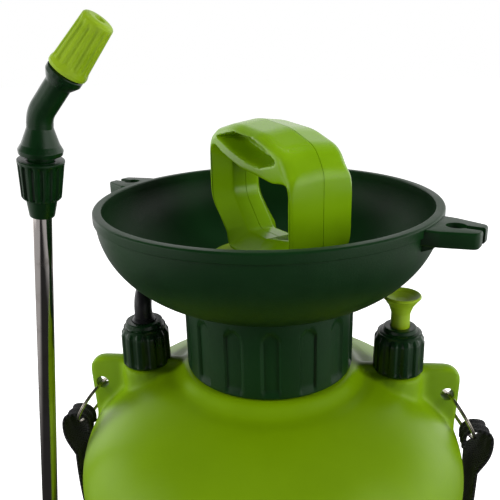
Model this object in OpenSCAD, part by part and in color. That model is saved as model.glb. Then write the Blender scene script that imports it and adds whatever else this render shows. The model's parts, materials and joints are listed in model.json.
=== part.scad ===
// Hand-pumped compression sprayer with a carrying strap, a filling funnel and a trigger lance.
// Millimetres. +Z up, origin on the ground under the middle of the tank, the two ports along X.

/* [Tank] */
// Outer diameter of the tank
tank_d = 204; // [170:1:240]
// Height at which the straight wall ends and the dome begins
shoulder_z = 200; // [160:1:260]
// Rise of the dome above the shoulder
dome_h = 61; // [48:1:76]
// Thickness of the tank's wall
tank_wall = 3; // [2:0.25:4]
// Height of the separate foot that the tank stands in
foot_h = 34; // [26:1:44]
// Distance of each port from the middle of the tank
port_offset = 66.5; // [60:0.5:72]
// Outer diameter of a port's boss
port_boss_d = 26; // [22:0.5:30]
// Thickness of the fin that runs out to the strap lugs
fin_t = 7; // [4:0.5:10]
// Diameter of the hole in a strap lug
lug_hole_d = 7; // [5:0.25:9]

/* [Funnel] */
// Outer diameter of the funnel's rim
rim_d = 165; // [140:1:190]
// Depth of the bowl, from the rim to the top of the collar
bowl_h = 52; // [42:1:62]
// Outer diameter of the collar
collar_d = 85.6; // [80:0.2:96]
// Height of the collar
collar_h = 34; // [28:1:42]
// Thickness of the bowl's wall
bowl_wall = 2.8; // [2:0.2:4]
// Number of grip ribs round the collar
collar_ribs = 15; // [8:1:20]
// Turn of the two rim lugs from the line of the ports
rim_lug_turn = -28; // [-60:1:60]

/* [Neck] */
// Bore through the tank's neck and the funnel's throat
neck_bore_d = 56; // [53:0.5:60]
// Outer diameter of the tank's neck
neck_d = 67; // [64:0.5:69]

/* [Pump] */
// Outer diameter of the pump's cylinder
cylinder_d = 50; // [44:0.5:52]
// Wall of the pump's cylinder
cylinder_wall = 2.2; // [1.5:0.1:3]
// Diameter of the pump's rod
rod_d = 12; // [9:0.5:15]
// Stroke of the pump
stroke = 150; // [90:1:160]
// Width of the handle across the hand
handle_t = 33; // [24:1:40]
// Turn of the handle from the line of the ports
handle_turn = -53; // [-90:1:90]

/* [Lance] */
// Diameter of the lance's tube
wand_d = 8; // [6:0.5:11]
// Visible length of the tube between its two nuts
wand_gap = 177; // [120:1:220]
// Length of the trigger grip
grip_l = 118; // [100:1:140]
// Length of a tube nut
nut_l = 25; // [22:1:32]
// Angle of the nozzle from the tube
nozzle_tilt = 32; // [0:1:60]

/* [Hose and strap] */
// Outer diameter of the hose
hose_d = 8.5; // [7:0.5:10]
// Width of the strap's webbing
strap_w = 25; // [18:1:32]
// Thickness of the strap's webbing
strap_t = 1.8; // [1.2:0.2:2.4]
// Inner diameter of a strap ring
ring_d = 26; // [22:0.5:32]
// Diameter of a strap ring's wire
ring_wire = 2; // [1.5:0.1:2.5]

/* [Hidden] */
$fn = 64;
run_gap = 0.08;      // running clearance on the radius
seat_gap = 0.3;      // clearance between pieces that only pass each other
thread_gap = 0.15;   // clearance on the radius of a screwed joint
seal_h = 1.5;

lime = "#86b81a";
dark_green = "#0f3a20";
rubber_black = "#181818";
steel = "#c9ccce";

// tank
tank_r = tank_d / 2;
foot_r = tank_r + 0.5;
foot_wall = 3;
foot_lap_r = tank_r - 3.5;      // the tank is stepped in by this to sit inside its foot
tank_floor_z = 14;
floor_round = 12;
dome_steps = 22;
ring_top_r = collar_d / 2 + 1.2;
ring_foot_r = ring_top_r + 8;
function dome_at(r, rr, hh) = shoulder_z + hh * sqrt(1 - pow(r / rr, 2));
collar_z = dome_at(collar_d / 2, tank_r, dome_h) + 3.2;
neck_ring_z = collar_z - 0.4;
rim_z = collar_z + collar_h + bowl_h;
bowl_z = collar_z + collar_h;    // where the collar ends and the bowl begins
fin_top_z = collar_z - 2.2;
lug_tip_x = tank_r - 3.5;
lug_hole_x = tank_r - 10;
lug_hole_z = fin_top_z - 15;

// ports: a boss, then a threaded spigot that carries the nut
boss_r = port_boss_d / 2;
boss_z = collar_z - 4.8;
spigot_r = boss_r - 2.15;
spigot_h = 16.5;
spigot_z = boss_z + spigot_h;
port_bore_r = spigot_r - 2.85;
nut_r = boss_r;

// funnel
rim_r = rim_d / 2;
bowl_mid_r = rim_r - 61;         // middle of the ellipse that the bowl follows
bowl_out_a = 60;
rim_lip = 4;
bowl_out_b = bowl_h - rim_lip - 2;
bowl_steps = 20;
throat_r = neck_bore_d / 2;
neck_r = neck_d / 2;
throat_floor_z = bowl_z - 1;     // underside of the funnel's floor
throat_floor_h = 4;
neck_top_z = throat_floor_z - seal_h;
upstand_r = throat_r + 3;
upstand_z = throat_floor_z + 16;
collar_r = collar_d / 2;
collar_groove = 2.2;
rim_lug_l = 19;
rim_lug_w = 27;
rim_lug_h = 12;

// pump
cap_bore_r = upstand_r + thread_gap;
cap_r_top = cap_bore_r + 3;
cap_r_bottom = cap_bore_r + 6;
cap_z = throat_floor_z + throat_floor_h + 0.6;
cylinder_top_z = upstand_z + seal_h + 3;
cap_roof_z = cylinder_top_z + 0.1;
cap_top_z = cap_roof_z + 3;
cylinder_r = cylinder_d / 2;
cylinder_bore_r = cylinder_r - cylinder_wall;
cylinder_l = stroke + 72;
cylinder_z = cylinder_top_z - cylinder_l;
pump_foot_h = 16;
guide_r = rod_d / 2 + 5;
guide_flange_z = cap_top_z + 0.2;
guide_flange_h = 1.8;
guide_z = cap_roof_z - 10;
handle_z = guide_flange_z + guide_flange_h + 0.3;
piston_h = 20;
piston_z = cylinder_z + 6;
rod_flat = rod_d / 2 - 1.2;      // the rod is D-shaped, so the guide turns with it
rod_top_z = handle_z + 9;

// handle outline: u runs across the hand, v up from the bottom of the loop
handle_u0 = -29;
handle_u1 = 44;
handle_top = 61;
handle_out = [[handle_u0, handle_top - 2], [-6, handle_top + 4], [20, handle_top + 1.5], [38, handle_top - 4.5],
              [handle_u1, handle_top - 15], [handle_u1, 2], [15, 0], [-12, 0], [-14, 9], [handle_u0, 24]];
handle_out_r = [9, 40, 40, 14, 12, 14, 3, 2, 4, 13];
handle_in = [[handle_u0 + 9, handle_top - 12], [6, handle_top - 22], [handle_u1 - 7, handle_top - 22],
             [handle_u1 - 7, 16], [10, 10], [-6, 10], [handle_u0 + 9, 26]];
handle_in_r = [4, 18, 6, 8, 5, 5, 12];
handle_screw_at = [[-24.5, 31], [40.5, 22], [28, 47]];
screw_r = 1.5;

// relief valve, in the right port
button_r = 4.75;
disc_r = 9.8;
relief_seat_z = boss_z + 4;
nut_step_z = spigot_z + seal_h + 0.2;
nut_roof_z = nut_step_z + 3.3;
nut_top_z = nut_roof_z + 3;
disc_z = nut_top_z + 13;

// outlet, in the left port
elbow_r = 4.6;
elbow_bend = 9;
barb_z = nut_top_z + 15;

// lance: its own axis leans out at the bottom
lance_at = [-141.6, -17.5, 32];
lance_lean = [4.7, 8.7, 0];
grip_w = 30;
grip_t = 26;
grip_wall = 2.5;
grip_screw_x = 9.6;
lower_nut_w = grip_l;
wand_start = grip_l + 4;
upper_nut_w = lower_nut_w + nut_l + wand_gap;
upper_nut_top = upper_nut_w + nut_l;
wand_r = wand_d / 2;
nut_big_r = 9.5;
nut_tail_r = 6.5;
neck_in = 11;                    // how far the elbow's neck goes into its nut
trigger_pivot = [-13, 100];
trigger_l = 66;
valve_w = 72;
stem_r = 3;
stem_l = 13.1;
elbow_neck_r = 5.3;
elbow_rise = 15.4;
elbow_turn_r = 12;
skirt_r = 9.1;
collar_nozzle_r = 7.5;
collar_at = 15;                  // along the nozzle from the bend's end to the collar
nozzle_l = 24;
nozzle_r = 7.3;
nozzle_spigot_r = 5.4;

// holder that carries the lance beside the tank
holder_turn = 188;
cup_r = 19.5;
cup_wall = 3.5;
cup_h = 18;
cup_floor = 3;
inlet_w = 14;                    // height of the hose inlet up the grip
inlet_slot = 20;

// strap: a ribbon lying on a cylinder round the back of the tank
strap_r = tank_r + 6;
strap_top_z = lug_hole_z - 52;
strap_drop = 165;
strap_steps = 44;
ring_mid_r = (ring_d + ring_wire) / 2;
ring_tilt = 28;                  // the ring hangs out from the lug, clear of the dome
ring_drop = (lug_hole_d - ring_wire) / 2 - 0.8;
ring_foot_x = lug_hole_x + (2 * ring_mid_r + ring_drop) * sin(ring_tilt);
ring_foot_z = lug_hole_z - (2 * ring_mid_r + ring_drop) * cos(ring_tilt);
// the webbing's way over the lowest point of its ring, measured from that point
// with the share of its width that is left where it gathers
strap_fold = [[2, -15, 1], [8, -6, 0.8], [9, 2.5, 0.6], [5, 5, 0.5], [0, 4.6, 0.45], [-2.9, 1, 0.45],
              [-2.8, -5, 0.45]];

// hose: from the outlet down behind the tank into its coil, then round to the lance
hose_r = hose_d / 2;
coil_at = [-5, 176];
coil_r = 44;
hose_down = [[-66.5, 13.2, 293.3], [-66.5, 25, 293.3], [-65, 43, 292.5], [-61, 63, 289], [-54, 83, 280],
             [-46, 100, 265], [-39, 112, 245], [-34, 119, 220], [-31, 122, 190], [-30, 123, 160],
             [-24, 123, 130], [-10, 124, 100], [8, 126, 72], [24, 132, 52], [34, 142, 38],
             [38, 156, 29], [38.8, 166, 25]];
hose_out = [[-7, 220, 4.5], [-30, 220, 4.5], [-58, 213, 4.5], [-85, 199, 4.5], [-109, 178, 4.5],
            [-127, 152, 4.5], [-139, 122, 4.5], [-144, 94, 6.5], [-144, 72, 14], [-143, 53, 25],
            [-141.5, 37, 34.5], [-140.4, 25, 40.5], [-139.9, 13.8, 43.2]];

function unit(v) = v / norm(v);
// One corner of an outline as an arc that touches both of its sides
function corner(a, p, b, r, n = 6) =
    let (d1 = unit(a - p), d2 = unit(b - p), half = acos(d1 * d2) / 2,
         mid = p + unit(d1 + d2) * r / sin(half),
         from = p + d1 * r / tan(half) - mid, to = p + d2 * r / tan(half) - mid,
         a0 = atan2(from.y, from.x), turn = ((atan2(to.y, to.x) - a0 + 540) % 360) - 180)
    [for (i = [0:n]) mid + r * [cos(a0 + turn * i / n), sin(a0 + turn * i / n)]];
function rounded(pts, radii) =
    let (n = len(pts))
    [for (i = [0:n - 1]) each corner(pts[(i + n - 1) % n], pts[i], pts[(i + 1) % n], radii[i])];
function flip(pts) = [for (i = [len(pts) - 1:-1:0]) pts[i]];

// A tube swept along points, with a ring square to the path at each
module sweep(path, r, sides = 10) {
    n = len(path);
    function along(i) = unit(path[min(i + 1, n - 1)] - path[max(i - 1, 0)]);
    function side(i) = let (s = cross(along(i), [0.31, 0.22, 0.92])) unit(s);
    rings = [for (i = [0:n - 1]) for (k = [0:sides - 1])
             let (s = side(i), t = cross(along(i), s), a = 360 * k / sides)
             path[i] + r * (cos(a) * s + sin(a) * t)];
    walls = [for (i = [0:n - 2]) for (k = [0:sides - 1]) for (half = [0:1])
             let (k2 = (k + 1) % sides, a = i * sides + k, b = i * sides + k2)
             half == 0 ? [a, b, b + sides] : [a, b + sides, a + sides]];
    ends = [flip([for (k = [0:sides - 1]) k]), [for (k = [0:sides - 1]) (n - 1) * sides + k]];
    polyhedron(points = rings, faces = [for (f = concat(walls, ends)) flip(f)], convexity = 10);
}

module at_port(side) {
    translate([side * port_offset, 0, 0]) children();
}

module on_lance(w = 0) {
    translate(lance_at) rotate(lance_lean) translate([0, 0, w]) children();
}

module tube(r1, r2, z, h) {
    translate([0, 0, z]) difference() {
        cylinder(r = r1, h = h);
        translate([0, 0, -1]) cylinder(r = r2, h = h + 2);
    }
}

module ribbed(r, z, h, ribs, rib_w, rib_h) {
    translate([0, 0, z]) {
        cylinder(r = r - rib_h, h = h);
        for (i = [0:ribs - 1]) rotate(360 * i / ribs)
            translate([r - rib_h - 1, -rib_w / 2, 0]) cube([rib_h + 1, rib_w, h]);
    }
}

// ---- tank ----
module tank_skin(inset) {
    r = tank_r - inset;
    low_r = foot_lap_r - inset;
    dome = [for (i = [0:dome_steps]) let (a = 90 * i / dome_steps)
            [r * cos(a), shoulder_z + (dome_h - inset) * sin(a)]];
    floor_arc = [for (i = [0:6]) let (a = -90 + 90 * i / 6)
                 [low_r - floor_round + floor_round * cos(a),
                  tank_floor_z + inset + floor_round + floor_round * sin(a)]];
    step_z = foot_h + (inset > 0 ? inset : 0);
    rotate_extrude($fn = 96)
        polygon(concat([[0, tank_floor_z + inset]], floor_arc,
                       [[low_r, step_z], [r, step_z + (inset > 0 ? 1 : 0)]], dome));
}

module fin() {
    pts = rounded([[neck_r - 3, shoulder_z], [lug_tip_x - 2, shoulder_z],
                   [lug_tip_x, fin_top_z], [neck_r - 3, fin_top_z]], [1, 1, 7, 1]);
    for (m = [0, 1]) mirror([m, 0, 0])
        translate([0, fin_t / 2, 0]) rotate([90, 0, 0]) linear_extrude(fin_t) polygon(pts);
}

module tank_shell() {
    color(lime) difference() {
        union() {
            tank_skin(0);
            difference() {
                fin();
                for (side = [-1, 1]) at_port(side) translate([0, 0, boss_z]) cylinder(r = nut_r + 0.6, h = 20);
            }
            rotate_extrude() polygon([[neck_r - 3, neck_ring_z - 8], [ring_foot_r, neck_ring_z - 8],
                [ring_foot_r - 2, neck_ring_z - 4.6], [ring_top_r + 1.5, neck_ring_z - 1],
                [ring_top_r, neck_ring_z], [neck_r - 3, neck_ring_z]]);
            translate([0, 0, shoulder_z]) cylinder(r = neck_r, h = neck_top_z - shoulder_z);
            for (side = [-1, 1]) at_port(side) translate([0, 0, shoulder_z]) {
                cylinder(r = boss_r, h = boss_z - shoulder_z);
                cylinder(r = spigot_r, h = spigot_z - shoulder_z);
            }
        }
        tank_skin(tank_wall);
        translate([0, 0, shoulder_z]) cylinder(r = throat_r, h = neck_top_z);
        for (side = [-1, 1]) {
            at_port(side) translate([0, 0, shoulder_z]) cylinder(r = port_bore_r, h = 100);
            translate([side * lug_hole_x, 0, lug_hole_z]) rotate([90, 0, 0])
                cylinder(d = lug_hole_d, h = fin_t + 2, center = true);
        }
    }
}

module base_foot() {
    rest_r = foot_lap_r - floor_round - 6;
    color(dark_green) difference() {
        rotate_extrude($fn = 96) polygon([[0, 0], [foot_r - 1.5, 0], [foot_r, 1.5], [foot_r, foot_h - 0.2],
            [foot_lap_r + 0.1, foot_h - 0.2], [foot_lap_r + 0.1, tank_floor_z], [rest_r, tank_floor_z],
            [rest_r, foot_wall], [0, foot_wall]]);
        for (a = [0:60:300]) rotate(a) translate([rest_r / 2, 0, -1]) cylinder(r = 5, h = foot_wall + 2);
        for (hole = holder_holes()) translate([0, 0, hole.y]) rotate([0, 90, holder_turn + hole.x])
            cylinder(r = screw_r, h = tank_r + 5);
    }
}

function holder_holes() = [[-7, 24], [7, 24]];

// ---- funnel ----
module funnel_skin() {
    outer_end = acos((collar_r - bowl_mid_r) / bowl_out_a);
    inner_a = bowl_out_a - bowl_wall;
    inner_b = bowl_out_b - bowl_wall;
    inner_end = acos((cap_r_bottom + 0.8 - bowl_mid_r) / inner_a);
    lip_z = rim_z - rim_lip;
    rotate_extrude($fn = 96) polygon(concat(
        [[neck_r + thread_gap, collar_z], [collar_r - collar_groove - 0.6, collar_z],
         [collar_r - collar_groove, collar_z + 1]],
        [[collar_r - collar_groove, bowl_z], [collar_r, bowl_z]],
        flip([for (i = [0:bowl_steps]) let (a = outer_end * i / bowl_steps)
              [bowl_mid_r + bowl_out_a * cos(a), lip_z - bowl_out_b * sin(a)]]),
        [[rim_r - 1, lip_z - 1.5], [rim_r, lip_z - 0.8], [rim_r, rim_z - 1.2], [rim_r - 1.2, rim_z],
         [rim_r - 3.9, rim_z], [rim_r - 4.4, rim_z - 0.6]],
        [for (i = [0:bowl_steps]) let (a = inner_end * i / bowl_steps)
         [bowl_mid_r + inner_a * cos(a), lip_z - inner_b * sin(a)]],
        [[cap_r_bottom + 0.8, throat_floor_z + throat_floor_h], [upstand_r, throat_floor_z + throat_floor_h],
         [upstand_r, upstand_z], [throat_r, upstand_z], [throat_r, throat_floor_z],
         [neck_r + thread_gap, throat_floor_z]]));
}

module rim_lug() {
    // flat plate under the rim with a round hole that opens outward through a narrow slot
    plate = rounded([[rim_r - 6, -rim_lug_w / 2], [rim_r + rim_lug_l, -rim_lug_w / 2 + 6],
                     [rim_r + rim_lug_l, rim_lug_w / 2 - 6], [rim_r - 6, rim_lug_w / 2]], [1, 3, 3, 1]);
    translate([0, 0, rim_z - rim_lug_h]) difference() {
        linear_extrude(rim_lug_h - 1) polygon(plate);
        translate([0, 0, -1]) cylinder(r = rim_r - 2.2, h = rim_lug_h + 2, $fn = 96);
        translate([rim_r + 8, 0, -1]) cylinder(d = 8.4, h = rim_lug_h + 2);
        translate([rim_r + 8, -2.2, -1]) cube([20, 4.4, rim_lug_h + 2]);
        translate([rim_r + 3, -rim_lug_w, -1]) cube([20, 2 * rim_lug_w, 4.5]);
    }
}

module funnel() {
    color(dark_green) {
        funnel_skin();
        for (i = [0:collar_ribs - 1]) rotate(360 * (i + 0.4) / collar_ribs)
            translate([collar_r - collar_groove - 1, -6, collar_z + 3.5])
                cube([collar_groove + 0.8, 12, collar_h - 4]);
        for (i = [0, 180]) rotate(rim_lug_turn + i) rim_lug();
    }
}

module neck_gasket() {
    color(rubber_black) tube(neck_r - 0.5, throat_r + 0.2, neck_top_z, seal_h);
}

// ---- outlet ----
module port_nut_body(top_r) {
    ribbed(nut_r, boss_z + 0.3, nut_roof_z - boss_z - 1, 12, 3, 0.7);
    translate([0, 0, boss_z + 0.3]) cylinder(r = nut_r - 1, h = nut_top_z - 2 - boss_z);
    cylinder(r = top_r, h = nut_top_z);
}

module outlet_nut() {
    color(dark_green) at_port(-1) difference() {
        port_nut_body(nut_r - 3);
        translate([0, 0, boss_z - 1]) cylinder(r = spigot_r + thread_gap, h = nut_roof_z - boss_z + 1);
        cylinder(r = spigot_r + thread_gap, h = boss_z);
        cylinder(r = elbow_r + 1.6, h = nut_top_z + 1);
        cylinder(r = 40, h = boss_z + 0.3);
    }
}

module outlet_seal() {
    color(rubber_black) at_port(-1) tube(spigot_r - 0.4, 4.6, spigot_z, seal_h);
}

module outlet_elbow() {
    flange_z = spigot_z + seal_h;
    color(rubber_black) at_port(-1) difference() {
        union() {
            translate([0, 0, flange_z]) cylinder(r = spigot_r - 0.2, h = nut_roof_z - flange_z - 0.1);
            translate([0, 0, spigot_z - 22]) cylinder(r = 2.9, h = 24);
            translate([0, 0, flange_z]) cylinder(r = elbow_r + 1.2, h = nut_top_z - flange_z + 1);
            translate([0, 0, flange_z]) cylinder(r = elbow_r, h = barb_z - elbow_bend - flange_z);
            translate([0, elbow_bend, barb_z - elbow_bend]) rotate([0, 0, 180]) rotate([90, 0, 90])
                rotate_extrude(angle = 90) translate([elbow_bend, 0]) circle(r = elbow_r);
            translate([0, elbow_bend, barb_z]) rotate([-90, 0, 0]) cylinder(r = elbow_r, h = 4);
            translate([0, elbow_bend, barb_z]) rotate([-90, 0, 0]) cylinder(r = hose_r - 1.5, h = 18);
        }
        translate([0, 0, spigot_z - 23]) cylinder(r = 1.8, h = barb_z - elbow_bend - spigot_z + 23);
    }
}

module hose_clamp() {
    color(steel) translate([-port_offset, 17, barb_z]) rotate([-90, 0, 0]) difference() {
        union() {
            cylinder(r = hose_r + 1, h = 6);
            translate([-hose_r - 6, -1.6, 0]) cube([7, 3.2, 6]);
        }
        translate([0, 0, -1]) cylinder(r = hose_r + 0.05, h = 8);
        translate([-hose_r - 7, -0.5, -1]) cube([8, 1, 8]);
    }
}

module dip_tube() {
    color("#d8dccf") at_port(-1) tube(4.2, 3, tank_floor_z + tank_wall + 8, spigot_z - tank_floor_z - tank_wall - 12);
}

module dip_strainer() {
    z = tank_floor_z + tank_wall + 0.2;
    color(rubber_black) at_port(-1) difference() {
        translate([0, 0, z]) cylinder(r = 7.5, h = 16);
        translate([0, 0, z + 7.8]) cylinder(r = 4.2, h = 20);
        translate([0, 0, z + 1.5]) cylinder(r = 6, h = 5);
        for (a = [0:60:300]) rotate(a) translate([3, -0.9, z - 1]) cube([10, 1.8, 6]);
    }
}

// ---- relief valve ----
module relief_nut() {
    color(dark_green) at_port(1) difference() {
        port_nut_body(button_r + 3.2);
        cylinder(r = spigot_r + thread_gap, h = nut_step_z);
        cylinder(r = port_bore_r, h = nut_roof_z);
        cylinder(r = button_r + run_gap, h = nut_top_z + 1);
        cylinder(r = 40, h = boss_z + 0.3);
    }
}

module relief_port_seal() {
    color(rubber_black) at_port(1) tube(spigot_r - 0.2, port_bore_r + 0.1, spigot_z, seal_h);
}

module relief_seat() {
    color("#d8dccf") at_port(1) tube(port_bore_r - 0.05, 3, relief_seat_z - 3, 3);
}

module relief_disc() {
    color(rubber_black) at_port(1) translate([0, 0, relief_seat_z]) cylinder(r = port_bore_r - 1.4, h = seal_h);
}

module relief_button() {
    head_z = relief_seat_z + seal_h;
    color(lime) at_port(1) {
        translate([0, 0, head_z]) cylinder(r = port_bore_r - 0.6, h = 3);
        translate([0, 0, head_z]) cylinder(r = button_r, h = disc_z - head_z + 1);
        rotate_extrude() polygon([[0, disc_z], [button_r, disc_z - 4], [button_r + 1.2, disc_z - 1],
            [disc_r - 2, disc_z + 1.6], [disc_r, disc_z + 3.4], [disc_r - 0.6, disc_z + 4.4],
            [disc_r - 3, disc_z + 3.2], [3, disc_z + 1.8], [0, disc_z + 1.6]]);
    }
}

module coil_spring(r, wire, h, turns, steps = 12) {
    n = round(turns * steps);
    sweep([for (i = [0:n]) let (a = 360 * i / steps)
           [r * cos(a), r * sin(a), wire / 2 + (h - wire) * i / n]], wire / 2, 6);
}

module relief_spring() {
    z = relief_seat_z + seal_h + 3;
    color(steel) at_port(1) translate([0, 0, z + 0.1])
        coil_spring(button_r + 1.3, 0.9, nut_roof_z - z - 0.2, 4);
}

// ---- strap ----
module strap_ring(side) {
    color(steel) translate([side * lug_hole_x, 0, lug_hole_z]) rotate([0, -side * ring_tilt, 0])
        translate([0, 0, -ring_mid_r - ring_drop]) rotate([0, 90, 0])
            rotate_extrude() translate([ring_mid_r, 0]) circle(d = ring_wire, $fn = 16);
}

module strap_ring_left() { strap_ring(-1); }
module strap_ring_right() { strap_ring(1); }

// The ribbon lies flat on a cylinder round the back of the tank
function strap_phi(i) = 90 + 90 * cos(180 * i / strap_steps);
function strap_z(i) = strap_top_z - strap_drop * sin(180 * i / strap_steps);
function strap_mid(i) = [strap_r * cos(strap_phi(i)), strap_r * sin(strap_phi(i)), strap_z(i)];
function strap_run(i) = unit(strap_mid(i + 0.05) - strap_mid(i - 0.05));
function strap_out(i) = [cos(strap_phi(i)), sin(strap_phi(i)), 0];

// A station is the middle of a section, the way the webbing runs, its width's direction and its width
strap_end = [for (p = strap_fold) [ring_foot_x + p.x, ring_foot_z + p.y]];
function fold_w(k) = strap_w * strap_fold[k].z;
function end_run(k) = unit(strap_end[min(k + 1, len(strap_end) - 1)] - strap_end[max(k - 1, 0)]);
strap_stations = concat(
    [for (k = [len(strap_end) - 1:-1:0]) let (p = strap_end[k], d = end_run(k))
     [[-p.x, 0, p.y], [d.x, 0, -d.y], [0, -1, 0], fold_w(k)]],
    [for (i = [0:strap_steps]) [strap_mid(i), strap_run(i), cross(strap_out(i), strap_run(i)), strap_w]],
    [for (k = [0:len(strap_end) - 1]) let (p = strap_end[k], d = end_run(k))
     [[p.x, 0, p.y], [d.x, 0, d.y], [0, -1, 0], fold_w(k)]]);

module strap() {
    n = len(strap_stations);
    pts = [for (s = strap_stations) let (t = cross(s[1], s[2]) * strap_t / 2, w = s[2] * s[3] / 2)
           each [s[0] - w - t, s[0] + w - t, s[0] + w + t, s[0] - w + t]];
    walls = [for (i = [0:n - 2]) for (k = [0:3]) for (half = [0:1])
             let (a = 4 * i + k, b = 4 * i + (k + 1) % 4) half == 0 ? [a, b, b + 4] : [a, b + 4, a + 4]];
    ends = [[0, 3, 2], [0, 2, 1], [4 * n - 4, 4 * n - 3, 4 * n - 2], [4 * n - 4, 4 * n - 2, 4 * n - 1]];
    color(rubber_black) polyhedron(points = pts, faces = [for (f = concat(walls, ends)) flip(f)], convexity = 6);
}

module strap_slider() {
    // three-bar slider that the doubled webbing runs through, on the ribbon's outer face
    step = strap_steps * 0.28;
    phi = strap_phi(step);
    run = unit(strap_mid(step + 0.1) - strap_mid(step - 0.1));
    lean = atan2(run.z, norm([run.x, run.y]));
    out = strap_r + strap_t / 2 + 0.3;
    color(rubber_black) translate([out * cos(phi), out * sin(phi), strap_z(step)])
        rotate([0, 0, phi]) rotate([lean, 0, 0]) rotate([90, 0, 90]) linear_extrude(3) difference() {
            square([24, strap_w + 9], center = true);
            for (x = [-6, 6]) translate([x, 0]) square([6, strap_w + 2], center = true);
        }
}

// ---- holder that carries the lance beside the tank ----
module lance_holder() {
    // a curved pad on the foot, an arm, and a cup that is open at the back for the hose inlet
    arm = rounded([[foot_r + 1, 7], [foot_r + 8, 7], [foot_r + 19, 27], [foot_r + 19, 46],
                   [foot_r + 12, 46], [foot_r + 1, 31]], [0.5, 4, 2, 2, 6, 0.5]);
    color(dark_green) difference() {
        union() {
            rotate([0, 0, holder_turn - 13]) rotate_extrude(angle = 26)
                translate([foot_r + 0.1, 5]) square([5, foot_h - 7]);
            rotate([0, 0, holder_turn]) rotate([90, 0, 0]) translate([0, 0, -4]) linear_extrude(8) polygon(arm);
            on_lance(-cup_floor - 0.3) cylinder(r = cup_r + cup_wall, h = cup_h + cup_floor);
        }
        on_lance(-0.3) cylinder(r = cup_r, h = 60);
        on_lance(-0.3) translate([-inlet_slot / 2, 0, 0]) cube([inlet_slot, 40, 60]);
        on_lance(-20) cylinder(r = 5, h = 30);
        for (hole = holder_holes()) translate([0, 0, hole.y]) rotate([0, 90, holder_turn + hole.x]) {
            cylinder(r = screw_r + 0.2, h = tank_r + 50);
            translate([0, 0, foot_r + 4]) cylinder(r = 3.3, h = 40);
        }
        cylinder(r = foot_r + 0.1, h = 200, $fn = 96);
    }
}

module holder_screws() {
    color(steel) for (hole = holder_holes()) translate([0, 0, hole.y]) rotate([0, 90, holder_turn + hole.x]) {
        translate([0, 0, foot_lap_r + 0.5]) cylinder(r = screw_r, h = foot_r + 4.1 - foot_lap_r - 0.5);
        translate([0, 0, foot_r + 4.05]) cylinder(r = 2.9, h = 1.8);
    }
}

// ---- hose ----
module hose() {
    color(rubber_black) difference() {
        union() {
            sweep(hose_down, hose_r);
            sweep(hose_out, hose_r);
        }
        translate([coil_at.x, coil_at.y, 0]) tube(coil_r + hose_r, coil_r - hose_r, -1, 2.7 * hose_d + 1);
    }
}

module hose_coil() {
    color(rubber_black) translate([coil_at.x, coil_at.y, 0])
        tube(coil_r + hose_r, coil_r - hose_r, 0, 2.7 * hose_d);
}

// ---- pump ----
module pump_cap() {
    color(lime) difference() {
        union() {
            rotate_extrude() polygon([[0, cap_z], [cap_r_bottom - 1.2, cap_z], [cap_r_top - 0.8, cap_top_z - 4],
                [cap_r_top - 3, cap_top_z - 1], [cap_r_top - 5, cap_top_z], [0, cap_top_z]]);
            for (i = [0:23]) rotate(15 * i) rotate([90, 0, 0]) translate([0, 0, -1.2]) linear_extrude(2.4)
                polygon([[cap_r_top - 6, cap_z], [cap_r_bottom, cap_z], [cap_r_top, cap_top_z - 3.5],
                         [cap_r_top - 6, cap_top_z - 3.5]]);
        }
        translate([0, 0, cap_z - 1]) cylinder(r = cap_bore_r, h = cap_roof_z - cap_z + 1);
        cylinder(r = guide_r + run_gap, h = cap_top_z + 1);
    }
}

module cap_seal() {
    color(rubber_black) tube(upstand_r - 0.2, throat_r - 0.4, upstand_z, seal_h);
}

module pump_cylinder() {
    color("#e6e8df") difference() {
        union() {
            translate([0, 0, cylinder_z]) cylinder(r = cylinder_r, h = cylinder_l);
            translate([0, 0, upstand_z + seal_h]) cylinder(r = upstand_r, h = 3);
        }
        translate([0, 0, cylinder_z + 3]) cylinder(r = cylinder_bore_r, h = cylinder_l);
        for (a = [0:60:300]) rotate(a) translate([8, 0, cylinder_z - 1]) cylinder(r = 2.2, h = 6);
        translate([0, 0, cylinder_z - 1]) cylinder(r = 2, h = 6);
    }
}

module check_valve() {
    // rubber umbrella under the cylinder's floor: it lets air out and keeps the liquid out
    color(rubber_black) rotate_extrude() polygon([[0, cylinder_z + 5.5], [2.8, cylinder_z + 4.6],
        [2.8, cylinder_z + 3.1], [1.9, cylinder_z + 3.1], [1.9, cylinder_z - 0.1], [13, cylinder_z - 0.1],
        [12, cylinder_z - 1.4], [3, cylinder_z - 3], [0, cylinder_z - 3]]);
}

module cylinder_foot() {
    z = cylinder_z - pump_foot_h;
    color(dark_green) difference() {
        translate([0, 0, z]) cylinder(r1 = cylinder_r - 3, r2 = cylinder_r, h = pump_foot_h - 0.1);
        translate([0, 0, z + 3]) cylinder(r = cylinder_r - 6, h = pump_foot_h);
        for (a = [0:60:300]) rotate(a) translate([13, 0, z - 1]) cylinder(r = 3, h = 6);
    }
}

module rod_guide() {
    color(dark_green) difference() {
        union() {
            translate([0, 0, guide_z]) cylinder(r = guide_r, h = guide_flange_z - guide_z + 1);
            translate([0, 0, guide_z]) cylinder(r = guide_r + 1.6, h = cap_roof_z - guide_z - 0.3);
            translate([0, 0, guide_flange_z]) cylinder(r = guide_r + 4, h = guide_flange_h);
        }
        rod_section(guide_z - 1, 30, run_gap);
    }
}

// The rod's D-shaped section, grown by a clearance
module rod_section(z, h, gap) {
    translate([0, 0, z]) intersection() {
        cylinder(r = rod_d / 2 + gap, h = h);
        translate([-rod_d, -rod_d, 0]) cube([rod_d + rod_flat + gap, 2 * rod_d, h]);
    }
}

module pump_rod() {
    color("#d9dbd2") {
        rod_section(piston_z + piston_h - 7.5, rod_top_z - piston_z - piston_h + 7.5, 0);
        translate([0, 0, piston_z + 4.2]) cylinder(r = 4, h = piston_h);
    }
}

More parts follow.
